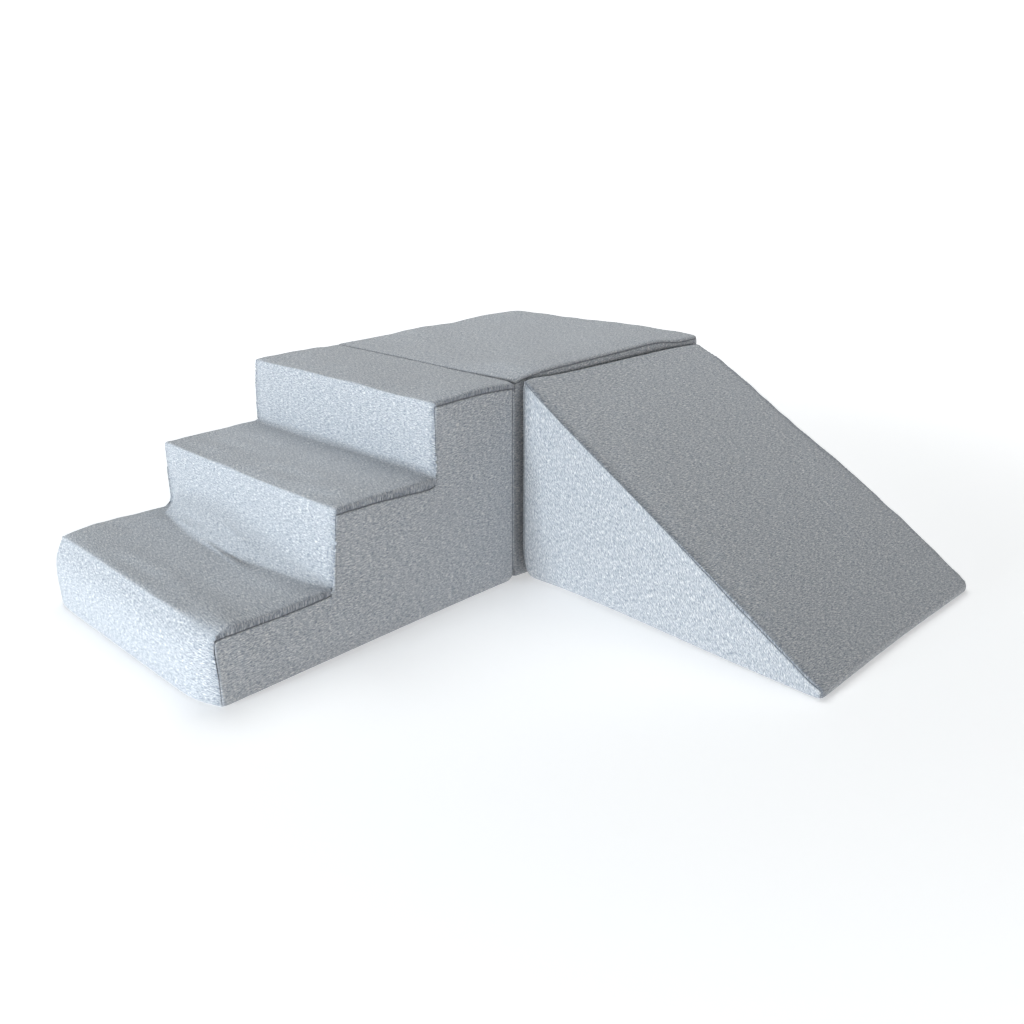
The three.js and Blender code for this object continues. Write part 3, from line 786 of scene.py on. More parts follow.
def back_surface(block, back, strip_foot):
    """The flat back from the zip's side across to the near edge, and a little way round it."""
    zip_y, width = block.half * block.zip_side, 2 * block.half

    def surface(across, z):
        over = np.maximum(across - width, 0) * ease((strip_foot + BACK_PAST - z) / BACK_FADE)
        y = zip_y - block.zip_side * np.minimum(across, width)
        return np.stack([back - over, y, z], axis=-1), np.stack([across, z], axis=-1)

    return surface


def flat_surface(corner, first, second):
    """A flat surface from a corner along two directions, in millimetres."""
    corner, first, second = (np.array(v, float) for v in (corner, first, second))

    def surface(a, b):
        return corner + a[..., None] * first + b[..., None] * second, np.stack([a, b], axis=-1)

    return surface


# %% Lower edge of a zipped panel
STRIP_TOP = node_box("stairs_far_side_base_strip")[1][2]
PANEL_FOOT = node_box("stairs_far_side_panel")[0][2]
OPENING_OVERRUN = 4.5  # the opening runs this far past the chain
LIP_TURN = 5.0  # length over which the folded edge turns up


def zip_edge(block):
    """Height of the panel's lower edge along x: the strip's top, and up to the opening's upper lip."""
    start, end = block.zip_span()
    lip = 2 * block.zip_height - STRIP_TOP

    def height(x):
        opened = ease((x - start + OPENING_OVERRUN) / LIP_TURN) * ease((end + OPENING_OVERRUN - x) / LIP_TURN)
        return PANEL_FOOT + (lip - PANEL_FOOT) * opened

    return height


# %% Grid steps of the panels
FINE, MIDDLE, COARSE = 0.8, 2.6, 9.0
PANEL_STEP, STRIP_STEP = 4.0, 3.0  # largest steps on the platform's sides and on the narrow strips
SIDE_FINE, SIDE_COARSE = FINE / 260, COARSE / 300  # steps as shares of a side's height
SIDE_CROWN = 2.5  # a side without a neighbour swells by this much
SIDE_REACH = 3.5  # on a side panel the gathers of the band's seam end sooner


# %% Sew the covers of the steps and the slide
def sew_banded_cover(block, profile, seam, names, turns, gathered):
    """Band, near side, zipped far side with its base strip, back and base of one cover."""
    total, start = path_length(profile), path_length(profile[:2])
    front, (back, height) = profile[0][0], profile[-1]
    half, zip_y = block.half, block.half * block.zip_side
    cross = graded(-1, 1, FINE / half, COARSE / half)
    side_rows = graded(0, 1, SIDE_FINE, SIDE_COARSE)
    lengths = even(0, total, MIDDLE)
    side_lengths = even(start, total, MIDDLE)
    side_gathered = gathered._replace(reach=SIDE_REACH)
    sewn_panel(
        block, names["band"], band_surface(profile, seam, half), lengths, cross,
        (PLAIN_SEAM, PLAIN_SEAM, gathered, gathered), turn=turns["band"],
    )
    sewn_panel(
        block, names["near"], side_surface(profile, seam, -zip_y, cut=BACK_TURN),
        even(start, total - BACK_TURN, MIDDLE), side_rows,
        (SEAM, PLAIN_SEAM, PLAIN_SEAM, side_gathered), crown=SIDE_CROWN, turn=turns["side"],
    )
    sewn_panel(
        block, names["far"], side_surface(profile, seam, zip_y, zip_edge(block)), side_lengths, side_rows,
        (SEAM, PLAIN_SEAM, LIP, side_gathered), crown=SIDE_CROWN, turn=turns["side"],
    )
    run, width = back - front, 2 * half
    sewn_panel(
        block, names["strip"], flat_surface((front, zip_y, 0), (1, 0, 0), (0, 0, 1)),
        graded(0, run, FINE, COARSE), graded(0, STRIP_TOP, FINE, STRIP_STEP),
        (PLAIN_SEAM, PLAIN_SEAM, PLAIN_SEAM, LIP), crown=0.0,
    )
    sewn_panel(
        block, names["back"], back_surface(block, back, height + seam(np.array([total]))[0, 1]),
        graded(0, width + BACK_TURN, FINE, COARSE), graded(0, height, FINE, COARSE),
        (PLAIN_SEAM,) * 4, crown=0.0,
    )
    sewn_panel(
        block, names["base"], flat_surface((front, -half, 0), (1, 0, 0), (0, 1, 0)),
        graded(0, run, FINE, COARSE), graded(0, width, FINE, COARSE),
        (PLAIN_SEAM,) * 4, crown=0.0,
    )


def cover_names(body, band):
    """Names of a cover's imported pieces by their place."""
    parts = {"band": band, "near": "near_side_panel", "far": "far_side_panel",
             "strip": "far_side_base_strip", "back": "back_panel", "base": "base_panel"}
    return {place: f"{body}_{part}" for place, part in parts.items()}


sew_banded_cover(
    stairs, STEP_PROFILE, step_seam, cover_names("stairs", "step_band"),
    {"band": 6, "side": 6}, SEAM._replace(gather=0.7, reach=9.0),
)
sew_banded_cover(
    slide, SLIDE_PROFILE, ramp_seam, cover_names("slide", "ramp_band"),
    {"band": 8, "side": 62}, SEAM._replace(gather=0.75, reach=8.0),
)

# %% [markdown]
# ## The platform's cover
# The platform is a plain box of cloth. Its top panel is cut a little larger than the foam, so its seam lies
# just below the edge all round. A point beyond the edge is therefore folded down: the depth is how far it
# lies outside, and the place on the rim is the point drawn in by the same share.

# %% Sew the platform
TOP_WRAP = 8.0


def wrapped_top(x, y):
    """A rectangle whose rim folds down by the larger overhang of the two directions."""
    over = np.maximum(np.maximum(np.abs(x) - PLATFORM_HALF, np.abs(y) - PLATFORM_DEPTH), 0)
    px = np.clip(x * PLATFORM_HALF / (PLATFORM_HALF + over), -PLATFORM_HALF, PLATFORM_HALF)
    py = np.clip(y * PLATFORM_DEPTH / (PLATFORM_DEPTH + over), -PLATFORM_DEPTH, PLATFORM_DEPTH)
    return np.stack([px, py, PLATFORM_TOP - over], axis=-1), np.stack([x, y], axis=-1)


def zipped_side(x, share):
    """The far side above the zip: from the folded edge up to the top panel's seam."""
    foot = zip_edge(platform)(x)
    z = foot + share * (PLATFORM_TOP - TOP_WRAP - foot)
    return np.stack([x, np.full_like(x, PLATFORM_DEPTH), z], axis=-1), np.stack([x, z], axis=-1)


def sew_platform():
    """Top, four sides, the strip under the zip, and the base."""
    length, depth, side_top = 2 * PLATFORM_HALF, 2 * PLATFORM_DEPTH, PLATFORM_TOP - TOP_WRAP
    low = (-PLATFORM_HALF, -PLATFORM_DEPTH, 0)
    along_x, along_y, up = (1, 0, 0), (0, 1, 0), (0, 0, 1)
    half_x, half_y = PLATFORM_HALF + TOP_WRAP, PLATFORM_DEPTH + TOP_WRAP
    side_edges = (PLAIN_SEAM, PLAIN_SEAM, PLAIN_SEAM, SEAM)
    rows = graded(0, side_top, FINE, COARSE)
    sewn_panel(
        platform, "platform_top_panel", wrapped_top,
        graded(-half_x, half_x, FINE, PANEL_STEP), graded(-half_y, half_y, FINE, PANEL_STEP), (SEAM,) * 4,
    )
    for node, corner, way, run, crown in (
        ("platform_slide_side_panel", low, along_x, length, 0.0),
        ("platform_stair_side_panel", low, along_y, depth, 0.0),
        ("platform_outer_side_panel", (PLATFORM_HALF, -PLATFORM_DEPTH, 0), along_y, depth, SIDE_CROWN),
    ):
        sewn_panel(
            platform, node, flat_surface(corner, way, up), graded(0, run, FINE, PANEL_STEP), rows,
            side_edges, crown=crown,
        )
    sewn_panel(
        platform, "platform_far_side_panel", zipped_side,
        graded(-PLATFORM_HALF, PLATFORM_HALF, FINE, PANEL_STEP), rows / side_top,
        (PLAIN_SEAM, PLAIN_SEAM, LIP, SEAM), crown=SIDE_CROWN,
    )
    sewn_panel(
        platform, "platform_far_side_base_strip",
        flat_surface((-PLATFORM_HALF, PLATFORM_DEPTH, 0), along_x, up),
        graded(0, length, FINE, COARSE), graded(0, STRIP_TOP, FINE, STRIP_STEP),
        (PLAIN_SEAM, PLAIN_SEAM, PLAIN_SEAM, LIP), crown=0.0,
    )
    sewn_panel(
        platform, "platform_base_panel", flat_surface(low, along_x, along_y),
        graded(0, length, FINE, COARSE), graded(0, depth, FINE, COARSE),
        (PLAIN_SEAM,) * 4, crown=0.0,
    )


sew_platform()

# %% [markdown]
# ## Foam cores
# Inside each cover is what carries a child: polyurethane foam cut from sheet. The steps are three slabs
# glued one on another, the platform is one block, and the slide is a wedge. Each core starts as its cut
# shape and is drawn inside the soft form wherever it would come too near the cloth, so it sits under its
# cover with even room, and a little more behind the zip.

# %% Cut the foam
FOAM_DEPTH = 5.5  # below the soft form
ZIP_ROOM = 3.2  # more behind a zip
FOAM_STEP = 14.0
FOAM_JOIN = 0.05  # points of neighbouring faces this near are one


def closed_box(low, high, step):
    """Six grids over the faces of a box: points, and the faces' corners, with shared edges doubled."""
    low, high = np.array(low, float), np.array(high, float)
    points, faces, count = [], [], 0
    for axis in range(3):
        others = [i for i in range(3) if i != axis]
        a, b = (even(low[i], high[i], step) for i in others)
        first, second = np.meshgrid(a, b, indexing="ij")
        for level, outwards in ((low[axis], -1), (high[axis], 1)):
            q = np.empty(first.shape + (3,))
            q[..., others[0]], q[..., others[1]], q[..., axis] = first, second, level
            normal = np.zeros_like(q)
            normal[..., axis] = outwards
            faces.append(facing_out(q, normal, grid_faces(*first.shape)) + count)
            points.append(q.reshape(-1, 3))
            count += first.size
    return np.concatenate(points), np.concatenate(faces)


def foam_core(block, node, low, high, top=None):
    """One piece of foam: a box, its top let down to a slope if there is one, drawn inside the soft form."""
    points, faces = closed_box(low, high, FOAM_STEP)
    if top:
        share = (points[:, 2] - low[2]) / (high[2] - low[2])
        points[:, 2] = low[2] + share * (top(points[:, 0]) - low[2])
    depth = FOAM_DEPTH + ZIP_ROOM * block.calm(points)
    inner, _ = settle(block.form, points, depth)
    too_near = block.form(points) > -depth
    points = np.where(too_near[:, None], inner, points)
    piece = new_object(node + "_soft", block.place(block.give(points)), faces.tolist())
    merge_doubles(piece, FOAM_JOIN)
    stand_for(piece, block, node)
    cores.append(piece)
    print(node, "points", len(piece.data.vertices))


cores = []
for slab in SLABS:
    foam_core(stairs, slab, *node_box(slab))
foam_core(platform, "platform_foam_block", *node_box("platform_foam_block"))


def under_ramp(x):
    """Height of the wedge's top face at x."""
    return np.interp(x, [-SLIDE_RUN, 0], [SLIDE_TOE, SLIDE_TOP]) - UNDER


foam_core(
    slide, "slide_foam_wedge", (-SLIDE_RUN + UNDER, -SLIDE_HALF + UNDER, UNDER),
    (-UNDER, SLIDE_HALF - UNDER, SLIDE_TOP), under_ramp,
)

# %% [markdown]
# ## Coil zips
# A coil zip is two woven tapes, each with a spring of nylon thread sewn along its edge. The turns of one
# spring lie between the turns of the other, and the slider presses them together. Each row is a real
# helix here: a flattened circle carried along the zip. The metal pieces keep the shape that the packed
# model gives them and only get small bevels. Rows of stitches hold the folded cover beside the chain.

# %% Measures of the zip
PITCH = 1.55  # length of one turn of the coil
WIRE = 0.29  # radius of the nylon thread
COIL_INNER, COIL_OUTER = -0.35, 3.1  # the turns reach a little past the centre line, between the others
COIL_BACK, COIL_FRONT = -4.2, -1.4  # below the cover's face
TAPE_INNER, TAPE_OUTER = 3.4, 16.0
TAPE_BACK, TAPE_FRONT = -3.1, -2.3
TAPE_OVERRUN = 10.0
TAPE_STEP, TAPE_FINE, TAPE_COARSE = 4.0, 0.5, 1.5  # grid steps along the tape and across it
TURN_STEPS, WIRE_SIDES = 8, 5
STITCH, STITCH_GAP, THREAD = 2.9, 0.9, 0.33  # length of a stitch, the gap after it, and the thread's radius
STITCH_INSET = 3.0
STITCH_PROUD = 0.1  # the threads' middle lies this far out of the cover's face
STITCH_RINGS, STITCH_SIDES, STITCH_END = 6, 6, 0.25  # the last is a stitch's girth at its ends, as a share
BEAD, BEAD_INSET, BEAD_WIDTH = 0.12, 0.8, 0.5  # the thicker line near a tape's outer edge
METAL_BEVEL = 0.18


def on_zip(block, x, v, n):
    """A point at x along the block, v above the zip's centre line and n out of the cover's face."""
    y = block.zip_side * (block.half + n)
    return block.place(np.stack(np.broadcast_arrays(x, y, block.zip_height + v), axis=-1))


# %% Coils
def tube(path, radius, sides, steady):
    """A ring of points round each point of a path, square to its run; steady is a direction off the run."""
    run = np.gradient(path, axis=0)
    run /= np.linalg.norm(run, axis=1)[:, None]
    first = steady - (run @ steady)[:, None] * run
    first /= np.linalg.norm(first, axis=1)[:, None]
    second = np.cross(run, first)
    angle = np.linspace(0, 2 * np.pi, sides, endpoint=False)[:, None, None]
    rings = path + radius * (np.cos(angle) * first + np.sin(angle) * second)
    return np.moveaxis(rings, 0, 1)


def tube_faces(rings, sides):
    """Quads between neighbouring rings, and a flat cap at each end."""
    marks = np.arange(rings * sides).reshape(rings, sides)
    ahead = np.roll(marks, -1, axis=1)
    walls = np.stack([marks[:-1], ahead[:-1], ahead[1:], marks[1:]], axis=-1).reshape(-1, 4)
    return walls.tolist() + [marks[0, ::-1].tolist(), marks[-1].tolist()]


def coil_row(block, row, side):
    """A flattened helix along the chain: v and n go round an ellipse once each pitch."""
    start, end = block.zip_span()
    turns = np.arange(0, (end - start) / PITCH - 0.5, 1 / TURN_STEPS)
    angle = 2 * np.pi * turns
    middle, reach = (COIL_INNER + COIL_OUTER) / 2, (COIL_OUTER - COIL_INNER) / 2 - WIRE
    depth, swing = (COIL_BACK + COIL_FRONT) / 2, (COIL_FRONT - COIL_BACK) / 2 - WIRE
    shift = 0.0 if side > 0 else PITCH / 2
    x = start + WIRE + shift + PITCH * turns
    path = on_zip(block, x, side * (middle + reach * np.cos(angle)), depth + swing * np.sin(angle))
    rings = tube(path, WIRE, WIRE_SIDES, block.axes[0])
    node = f"{block.name}_zip_coil_{row}"
    piece = new_object(node + "_made", rings, tube_faces(len(path), WIRE_SIDES))
    turn_outwards(piece)
    stand_for(piece, block, node)
    return piece


# %% Tapes
def zip_tape(block, row, side):
    """A flat woven strip with a bead: e^-((distance / width)^2) along its outer edge."""
    start, end = block.zip_span()
    x = even(start - TAPE_OVERRUN, end + TAPE_OVERRUN, TAPE_STEP)
    v = graded(TAPE_INNER, TAPE_OUTER, TAPE_FINE, TAPE_COARSE)
    first, second = np.meshgrid(x, v, indexing="ij")
    bead = BEAD * np.exp(-(((second - TAPE_OUTER + BEAD_INSET) / BEAD_WIDTH) ** 2))
    front = on_zip(block, first, side * second, TAPE_FRONT - BEAD + bead)
    node = f"{block.name}_zip_tape_{row}"
    normal = np.broadcast_to(block.axes[1] * block.zip_side, front.shape)
    faces = facing_out(front, normal, grid_faces(*first.shape))
    piece = new_object(node + "_made", front, faces.tolist())
    add_uv(piece, np.stack([first, second], axis=-1))
    thicken(piece, TAPE_FRONT - TAPE_BACK - BEAD)
    stand_for(piece, block, node)
    return piece


# %% Stitches
def stitch_rows(block):
    """One small thread capsule for each stitch, in a row on either side of the opening."""
    start, end = block.zip_span()
    places = np.arange(start - OPENING_OVERRUN, end + OPENING_OVERRUN, STITCH + STITCH_GAP)
    rise = np.array([STRIP_TOP - STITCH_INSET, 2 * block.zip_height - STRIP_TOP + STITCH_INSET])
    angle = np.linspace(0, np.pi, STITCH_RINGS)
    length = -np.cos(angle) * STITCH / 2
    around = np.linspace(0, 2 * np.pi, STITCH_SIDES, endpoint=False)
    girth = np.maximum(np.sin(angle), STITCH_END)[:, None] * THREAD
    ring = (girth * np.cos(around), girth * np.sin(around))
    shape = np.stack(np.broadcast_arrays(length[:, None], *ring), -1)
    centre_x, centre_z = (grid.ravel() for grid in np.meshgrid(places + STITCH / 2, rise))
    x = centre_x[:, None, None] + shape[..., 0]
    v = centre_z[:, None, None] - block.zip_height + shape[..., 1]
    points = on_zip(block, x, v, STITCH_PROUD + shape[..., 2])
    one = tube_faces(*shape.shape[:2])
    count = shape.shape[0] * shape.shape[1]
    faces = [[corner + count * i for corner in face] for i in range(len(centre_x)) for face in one]
    piece = new_object(f"{block.name}_zip_stitching", points, faces)
    turn_outwards(piece)
    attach(piece, block.name)
    return piece


# %% Make the zips
coils, tapes, stitching, metal = [], [], [], []
for block in (stairs, platform, slide):
    for row, side in (("upper", 1), ("lower", -1)):
        coils.append(coil_row(block, row, side))
        tapes.append(zip_tape(block, row, side))
    stitching.append(stitch_rows(block))
    for part in ("top_stop", "bottom_stop", "slider", "pull"):
        node = frame["nodes"][f"{block.name}_zip_{part}"]
        weld = node.modifiers.new("weld", "WELD")
        weld.merge_threshold = 0.001 * MM
        bevel = node.modifiers.new("worn edges", "BEVEL")
        bevel.width = METAL_BEVEL * MM
        bevel.segments = 2
        bevel.limit_method = "ANGLE"
        metal.append(node)
print("coils", len(coils), "tapes", len(tapes), "stitch rows", len(stitching), "metal pieces", len(metal))

# %% [markdown]
# ## Heather jersey
# The yarn is spun from pale and dark fibres, so the knit is flecked: short streaks, up to a centimetre
# long and a few millimetres wide, that lie along the rows of stitches. Stretched noise on the cloth's own
# flat coordinates gives them: where it is high enough, a pale or a dark fleck covers the ground. A finer
# layer stands for single fibres. Beside a drawn-in seam, long thin dark streaks across it are painted shade
# in the folds of the gathers, and each deep seam gets a dark line of painted shade.

# %% Node helpers
def new_material(name):
    """An empty node material; gives it, its node tree and its shader."""
    material = bpy.data.materials.new(name)
    material.use_nodes = True
    tree = material.node_tree
    return material, tree, tree.nodes["Principled BSDF"]


def fill(tree, socket, value):
    """Gives a socket a value, or links another node's output to it."""
    if isinstance(value, bpy.types.NodeSocket):
        tree.links.new(value, socket)
    else:
        socket.default_value = value


def add_node(tree, kind, inputs=None, **settings):
    """A node with its settings and its inputs; gives its first output."""
    node = tree.nodes.new(kind)
    for key, value in settings.items():
        setattr(node, key, value)
    for key, value in (inputs or {}).items():
        fill(tree, node.inputs[key], value)
    return node.outputs[0]


def noise(tree, place, scale, detail, roughness=0.5):
    """Clouds between 0 and 1; detail adds finer ones, roughness says how strong these are."""
    inputs = {"Vector": place, "Scale": scale, "Detail": detail, "Roughness": roughness}
    return add_node(tree, "ShaderNodeTexNoise", inputs)


def streaks(tree, cloth, length, width, detail, offset):
    """Noise on the flat cloth, stretched to streaks of a length and width in millimetres."""
    stretch = (1 / (length * MM), 1 / (width * MM), 1)
    shift = (offset, offset * 0.7, 0)
    place = add_node(tree, "ShaderNodeMapping", {"Vector": cloth, "Scale": stretch, "Location": shift})
    return noise(tree, place, 1.0, detail, 0.55)


def calculate(tree, operation, *values):
    """One arithmetic step on values or other nodes' outputs."""
    return add_node(tree, "ShaderNodeMath", dict(enumerate(values)), operation=operation)


def attribute(tree, name):
    """The number that a piece keeps at each of its points."""
    node = tree.nodes.new("ShaderNodeAttribute")
    node.attribute_name = name
    return node.outputs["Fac"]


def ramp(tree, value, *stops):
    """A colour ramp through (place, colour) stops."""
    node = tree.nodes.new("ShaderNodeValToRGB")
    tree.links.new(value, node.inputs["Fac"])
    while len(node.color_ramp.elements) < len(stops):
        node.color_ramp.elements.new(0.5)
    for element, (place, colour) in zip(node.color_ramp.elements, stops):
        element.position = place
        element.color = (*colour, 1)
    return node.outputs[0]


def mix_colours(tree, factor, first, second, blend="MIX"):
    """Two colours mixed by a factor."""
    node = tree.nodes.new("ShaderNodeMix")
    node.data_type = "RGBA"
    node.blend_type = blend
    for socket, value in ((0, factor), (6, first), (7, second)):
        fill(tree, node.inputs[socket], value)
    return node.outputs[2]


def set_shader(tree, shader, inputs, bump=None):
    """The shader's inputs by name, and a bump of (height, strength, depth in millimetres)."""
    for name, value in inputs.items():
        fill(tree, shader.inputs[name], value)
    if bump:
        height, strength, depth = bump
        inputs = {"Height": height, "Strength": strength, "Distance": depth * MM}
        tree.links.new(add_node(tree, "ShaderNodeBump", inputs), shader.inputs["Normal"])


def object_place(tree):
    """Where a point lies on its object, in metres."""
    return tree.nodes.new("ShaderNodeTexCoord").outputs["Object"]


# %% The jersey
FIBRE_GROUND = (0.445, 0.468, 0.5)
FIBRE_DARK = (0.26, 0.285, 0.325)
FIBRE_PALE = (0.74, 0.735, 0.715)
# painted shade: the dark colour laid into each deep seam's crevice
SEAM_SHADE = (0.17, 0.18, 0.2, 1)
SEAM_COVER = 0.85  # how far the painted seam shade hides the cloth
FLECK_COVER = (0.9, 0.9, 0.9)  # how far a fleck hides the ground
STREAKS = {  # length and width in millimetres, detail, and where in the noise they start
    "pale": (11.5, 2.2, 1.3, 0.0),
    "dark": (10.5, 2.1, 1.3, 31.0),
    "fine": (6.0, 1.5, 1.0, 57.0),
    "yarn": (2.8, 0.7, 2.0, 83.0),
    "folds": (26.0, 2.6, 1.0, 11.0),
}


def jersey_material():
    """Flecked grey knit: pale and dark streaks on a mid ground, painted shade in the gathers and the seams, a
    soft sheen.
    """
    material, tree, shader = new_material("heather jersey")
    cloth = add_node(tree, "ShaderNodeUVMap", uv_map="cloth")
    pale, dark, fine, yarn, folds = (streaks(tree, cloth, *size) for size in STREAKS.values())
    gathers, seam = attribute(tree, "gathers"), attribute(tree, "seam")
    colour = ramp(tree, fine, (0.3, FIBRE_DARK), (0.5, FIBRE_GROUND), (0.7, FIBRE_PALE))
    dark_share = ramp(tree, dark, (0.54, (0, 0, 0)), (0.65, FLECK_COVER))
    pale_share = ramp(tree, pale, (0.55, (0, 0, 0)), (0.66, FLECK_COVER))
    colour = mix_colours(tree, dark_share, colour, (*FIBRE_DARK, 1))
    colour = mix_colours(tree, pale_share, colour, (*FIBRE_PALE, 1))
    yarn_tone = ramp(tree, yarn, (0.35, (0.74, 0.75, 0.77)), (0.65, (1.24, 1.23, 1.22)))
    colour = mix_colours(tree, 1.0, colour, yarn_tone, "MULTIPLY")
    # painted shade: dark streaks across the drawn-in strip beside a gathered seam stand for the shade in its
    # folds
    painted_fold_shade = ramp(tree, folds, (0.36, (0.4, 0.42, 0.45)), (0.64, (0.9, 0.91, 0.93)))
    fold_shaded_colour = mix_colours(tree, 1.0, colour, painted_fold_shade, "MULTIPLY")
    colour = mix_colours(tree, gathers, colour, fold_shaded_colour)
    # painted shade: a dark line along each deep seam, where its crevice lies in shade
    shade = calculate(tree, "MULTIPLY", seam, SEAM_COVER)
    colour = mix_colours(tree, shade, colour, SEAM_SHADE)
    fold_height = calculate(tree, "MULTIPLY", folds, gathers)
    knit_height = calculate(tree, "MULTIPLY_ADD", yarn, 0.5, fine)
    height = calculate(tree, "MULTIPLY_ADD", fold_height, 2.0, knit_height)
    look = {"Roughness": 0.95, "Specular IOR Level": 0.2, "Sheen Weight": 0.12, "Sheen Roughness": 0.5}
    set_shader(tree, shader, {"Base Color": colour, **look}, (height, 0.6, 0.35))
    return material


# %% The other finishes
def foam_material():
    """Cut polyurethane foam: cream, with open cells a millimetre or two wide, their hollows darkened with
    painted shade.
    """
    material, tree, shader = new_material("cut foam")
    place = object_place(tree)
    cells = add_node(tree, "ShaderNodeTexVoronoi", {"Vector": place, "Scale": 700.0})
    tint = ramp(tree, noise(tree, place, 9.0, 3.0), (0.35, (0.78, 0.72, 0.56)), (0.65, (0.86, 0.82, 0.68)))
    # painted shade: each cell is darker towards its hollow middle, where the bump sinks
    painted_cell_shade = ramp(tree, cells, (0.1, (0.5, 0.45, 0.33)), (0.5, (0.9, 0.86, 0.73)))
    colour = mix_colours(tree, 0.35, tint, painted_cell_shade)
    set_shader(tree, shader, {"Base Color": colour, "Roughness": 0.95}, (cells, 0.5, 0.5))
    return material


def bands(tree, place, scale, distortion, detail=2.0, direction="X"):
    """Even bands, which a distortion makes a little uneven."""
    node = tree.nodes.new("ShaderNodeTexWave")
    node.bands_direction = direction
    inputs = {"Vector": place, "Scale": scale, "Distortion": distortion, "Detail": detail}
    for key, value in inputs.items():
        fill(tree, node.inputs[key], value)
    return node.outputs["Fac"]


def tape_material():
    """Woven polyester tape: fine slanted ribs, with painted shade that darkens the valleys."""
    material, tree, shader = new_material("zip tape")
    cloth = add_node(tree, "ShaderNodeUVMap", uv_map="cloth")
    slanted = add_node(tree, "ShaderNodeMapping", {"Vector": cloth, "Rotation": (0, 0, np.radians(62))})
    ribs = bands(tree, slanted, 330.0, 0.8, detail=1.0)
    # painted shade: the ribs' valleys are coloured darker than their crests
    colour = ramp(tree, ribs, (0.15, (0.13, 0.145, 0.16)), (0.8, (0.24, 0.26, 0.285)))
    set_shader(tree, shader, {"Base Color": colour, "Roughness": 0.85}, (ribs, 0.7, 0.15))
    return material


def coil_material():
    """Nylon monofilament: grey, half glossy, slightly uneven in tone."""
    material, tree, shader = new_material("nylon coil")
    cloud = noise(tree, object_place(tree), 400.0, 2.0)
    colour = ramp(tree, cloud, (0.3, (0.14, 0.155, 0.17)), (0.7, (0.2, 0.215, 0.235)))
    set_shader(tree, shader, {"Base Color": colour, "Roughness": 0.38})
    return material


def thread_material():
    """Sewing thread: grey, with the twist of its two strands painted as light and dark bands of shading."""
    material, tree, shader = new_material("sewing thread")
    twist = bands(tree, object_place(tree), 500.0, 0.5, direction="DIAGONAL")
    # painted light and shade: the strands' twist as lighter and darker diagonal bands
    colour = ramp(tree, twist, (0.2, (0.3, 0.32, 0.34)), (0.8, (0.5, 0.52, 0.54)))
    set_shader(tree, shader, {"Base Color": colour, "Roughness": 0.7})
    return material


def zinc_material():
    """Cast zinc with a dull plating: small clouds in its gloss, and faint casting grain."""
    material, tree, shader = new_material("plated zinc")
    place = object_place(tree)
    cloud = noise(tree, place, 260.0, 4.0)
    grain = noise(tree, place, 2600.0, 1.0)
    colour = ramp(tree, cloud, (0.3, (0.5, 0.51, 0.52)), (0.7, (0.62, 0.63, 0.64)))
    gloss = add_node(tree, "ShaderNodeMapRange", {"Value": cloud, "To Min": 0.24, "To Max": 0.42})
    look = {"Base Color": colour, "Roughness": gloss, "Metallic": 1.0}
    set_shader(tree, shader, look, (grain, 0.2, 0.05))
    return material


def dress(pieces, material):
    """Gives every piece one material in place of what it had."""
    for piece in pieces:
        piece.data.materials.clear()
        piece.data.materials.append(material)


dress(covers, jersey_material())
dress(cores, foam_material())
dress(tapes, tape_material())
dress(coils, coil_material())
dress(stitching, thread_material())
dress(metal, zinc_material())
print("materials", [material.name for material in bpy.data.materials if material.users])

# %% [markdown]
# ## Room, light and camera
# The object stands in a white studio. A small window of cool light, low on the steps' side, gives the
# risers and the slide's near side their brightness, and it stands near enough that the first riser is
# lighter than the third. A wide soft light under the ceiling lights the treads, the top and the ramp.
# The backdrop is one sheet that sweeps up behind the object. Lamps alone would leave it grey far away,
# so it glows a little, more towards its rim, and stays white from every side.

# %% Floor
FLOOR_RADIUS, RIM_RADIUS = 5200.0, 2600.0  # the floor is flat this far, then sweeps up
FLOOR_RINGS, RIM_RINGS, SPOKES = 8, 24, 97
SWEEP_END = np.radians(80)  # the sheet ends this steep
FLOOR_GLOW, WALL_GLOW = 0.38, 0.76  # the backdrop's own light makes up for what the lamps don't reach
GLOW_START, GLOW_END = 0.9, 2.8  # metres from the middle of the floor over which it grows


def make_floor():
    """A profile turned about z: flat, then a quarter circle upwards, so no horizon shows from any side."""
    sweep = np.linspace(0, SWEEP_END, RIM_RINGS)
    flat = np.linspace(0.0, FLOOR_RADIUS, FLOOR_RINGS)
    radius = np.concatenate([flat, FLOOR_RADIUS + RIM_RADIUS * np.sin(sweep[1:])])
    height = np.concatenate([np.zeros(FLOOR_RINGS), RIM_RADIUS * (1 - np.cos(sweep[1:]))])
    angle = np.linspace(0, 2 * np.pi, SPOKES)[:, None]
    points = np.stack(np.broadcast_arrays(radius * np.cos(angle), radius * np.sin(angle), height), axis=-1)
    floor = new_object("floor", points, grid_faces(*points.shape[:2]).tolist())
    merge_doubles(floor, 1.0)
    material, tree, shader = new_material("pale floor")
    measure = tree.nodes.new("ShaderNodeVectorMath")
    measure.operation = "LENGTH"
    tree.links.new(object_place(tree), measure.inputs[0])
    inputs = {
        "Value": measure.outputs["Value"], "From Min": GLOW_START, "From Max": GLOW_END,
        "To Min": FLOOR_GLOW, "To Max": WALL_GLOW,
    }
    glow = add_node(tree, "ShaderNodeMapRange", inputs, interpolation_type="SMOOTHSTEP")
    look = {"Emission Color": (1.0, 1.0, 1.0, 1), "Roughness": 1.0, "Specular IOR Level": 0.0}
    set_shader(tree, shader, {"Base Color": (0.9, 0.9, 0.9, 1), "Emission Strength": glow, **look})
    floor.data.materials.append(material)


make_floor()


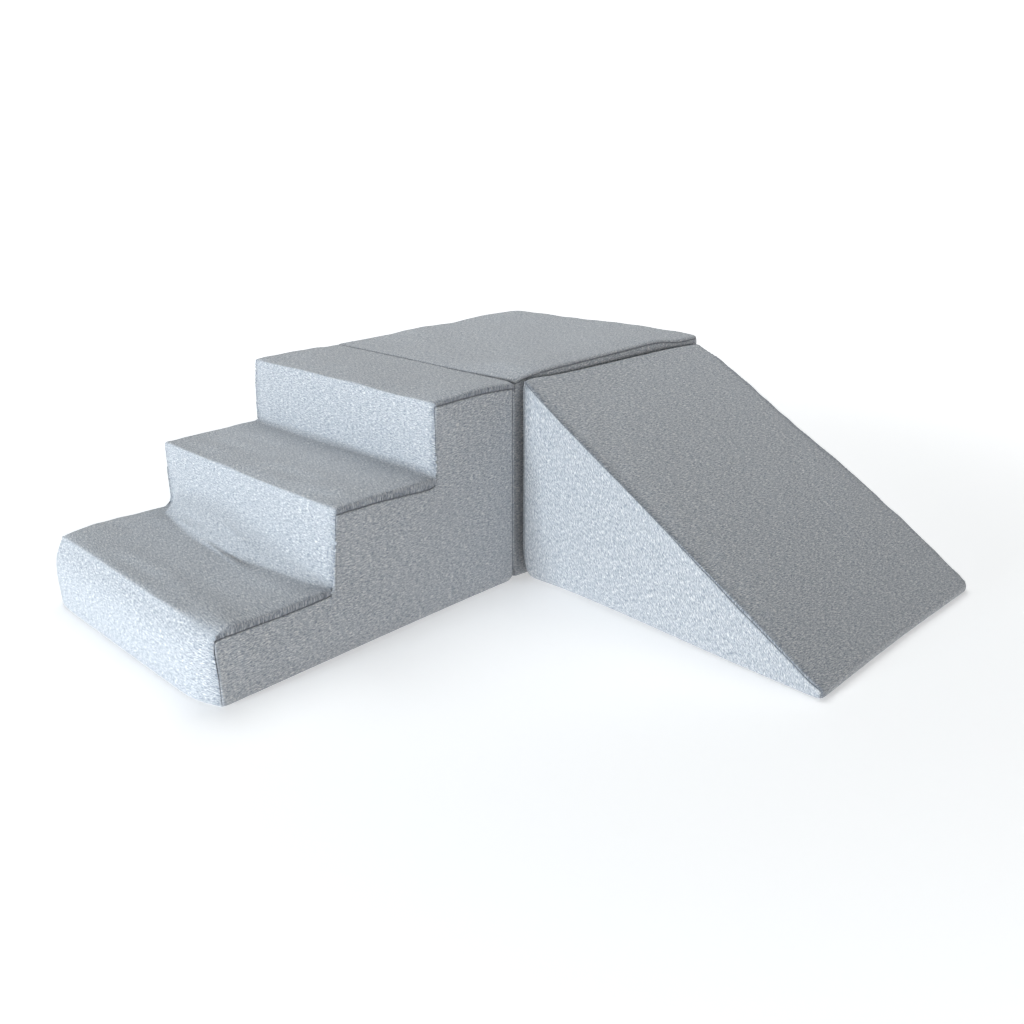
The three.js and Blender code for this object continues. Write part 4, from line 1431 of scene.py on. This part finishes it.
# %% Lights
def area_light(name, place, aim, size, power, colour):
    """A square soft light at a place in metres, turned towards a point."""
    light = bpy.data.lights.new(name, "AREA")
    light.shape = "SQUARE"
    light.size = size
    light.energy = power
    light.color = colour
    lamp = bpy.data.objects.new(name, light)
    bpy.context.scene.collection.objects.link(lamp)
    lamp.location = place
    lamp.rotation_mode = "QUATERNION"
    lamp.rotation_quaternion = (Vector(aim) - Vector(place)).to_track_quat("-Z", "Y")
    lamp.visible_camera = False


area_light("window", (-5.0, -0.1, 0.42), (-0.7, -0.3, 0.2), 0.75, 168.0, (0.81, 0.912, 1.0))
area_light("ceiling", (0.2, 0.7, 3.4), (0.0, 0.0, 0.2), 3.2, 96.0, (0.955, 0.985, 1.0))

SKY_STRENGTH = 0.01  # next to nothing: the backdrop takes the sky's part
world = bpy.data.worlds.new("studio")
bpy.context.scene.world = world
world.use_nodes = True
sky = world.node_tree.nodes["Background"]
sky.inputs["Color"].default_value = (1.0, 1.0, 1.0, 1)
sky.inputs["Strength"].default_value = SKY_STRENGTH
bpy.context.scene.view_settings.view_transform = "Standard"

# %% Camera
CAMERA_AZIMUTH, CAMERA_ELEVATION = np.radians(-45.95), np.radians(21.32)
CAMERA_TARGET = np.array([-0.3975, -0.366, 0.2])
CAMERA_DISTANCE = 2.105
FOCAL_PIXELS, IMAGE_PIXELS = 1008.17, 1024


def make_camera():
    """Looks at the target from an azimuth and elevation; the focal length is in sensor widths."""
    level = np.cos(CAMERA_ELEVATION)
    back = np.array(
        [np.sin(CAMERA_AZIMUTH) * level, -np.cos(CAMERA_AZIMUTH) * level, np.sin(CAMERA_ELEVATION)]
    )
    data = bpy.data.cameras.new("camera")
    data.sensor_width = 36.0
    data.lens = data.sensor_width * FOCAL_PIXELS / IMAGE_PIXELS
    camera = bpy.data.objects.new("camera", data)
    bpy.context.scene.collection.objects.link(camera)
    camera.location = CAMERA_TARGET + back * CAMERA_DISTANCE
    camera.rotation_mode = "QUATERNION"
    camera.rotation_quaternion = Vector(-back).to_track_quat("-Z", "Y")
    bpy.context.scene.camera = camera


make_camera()
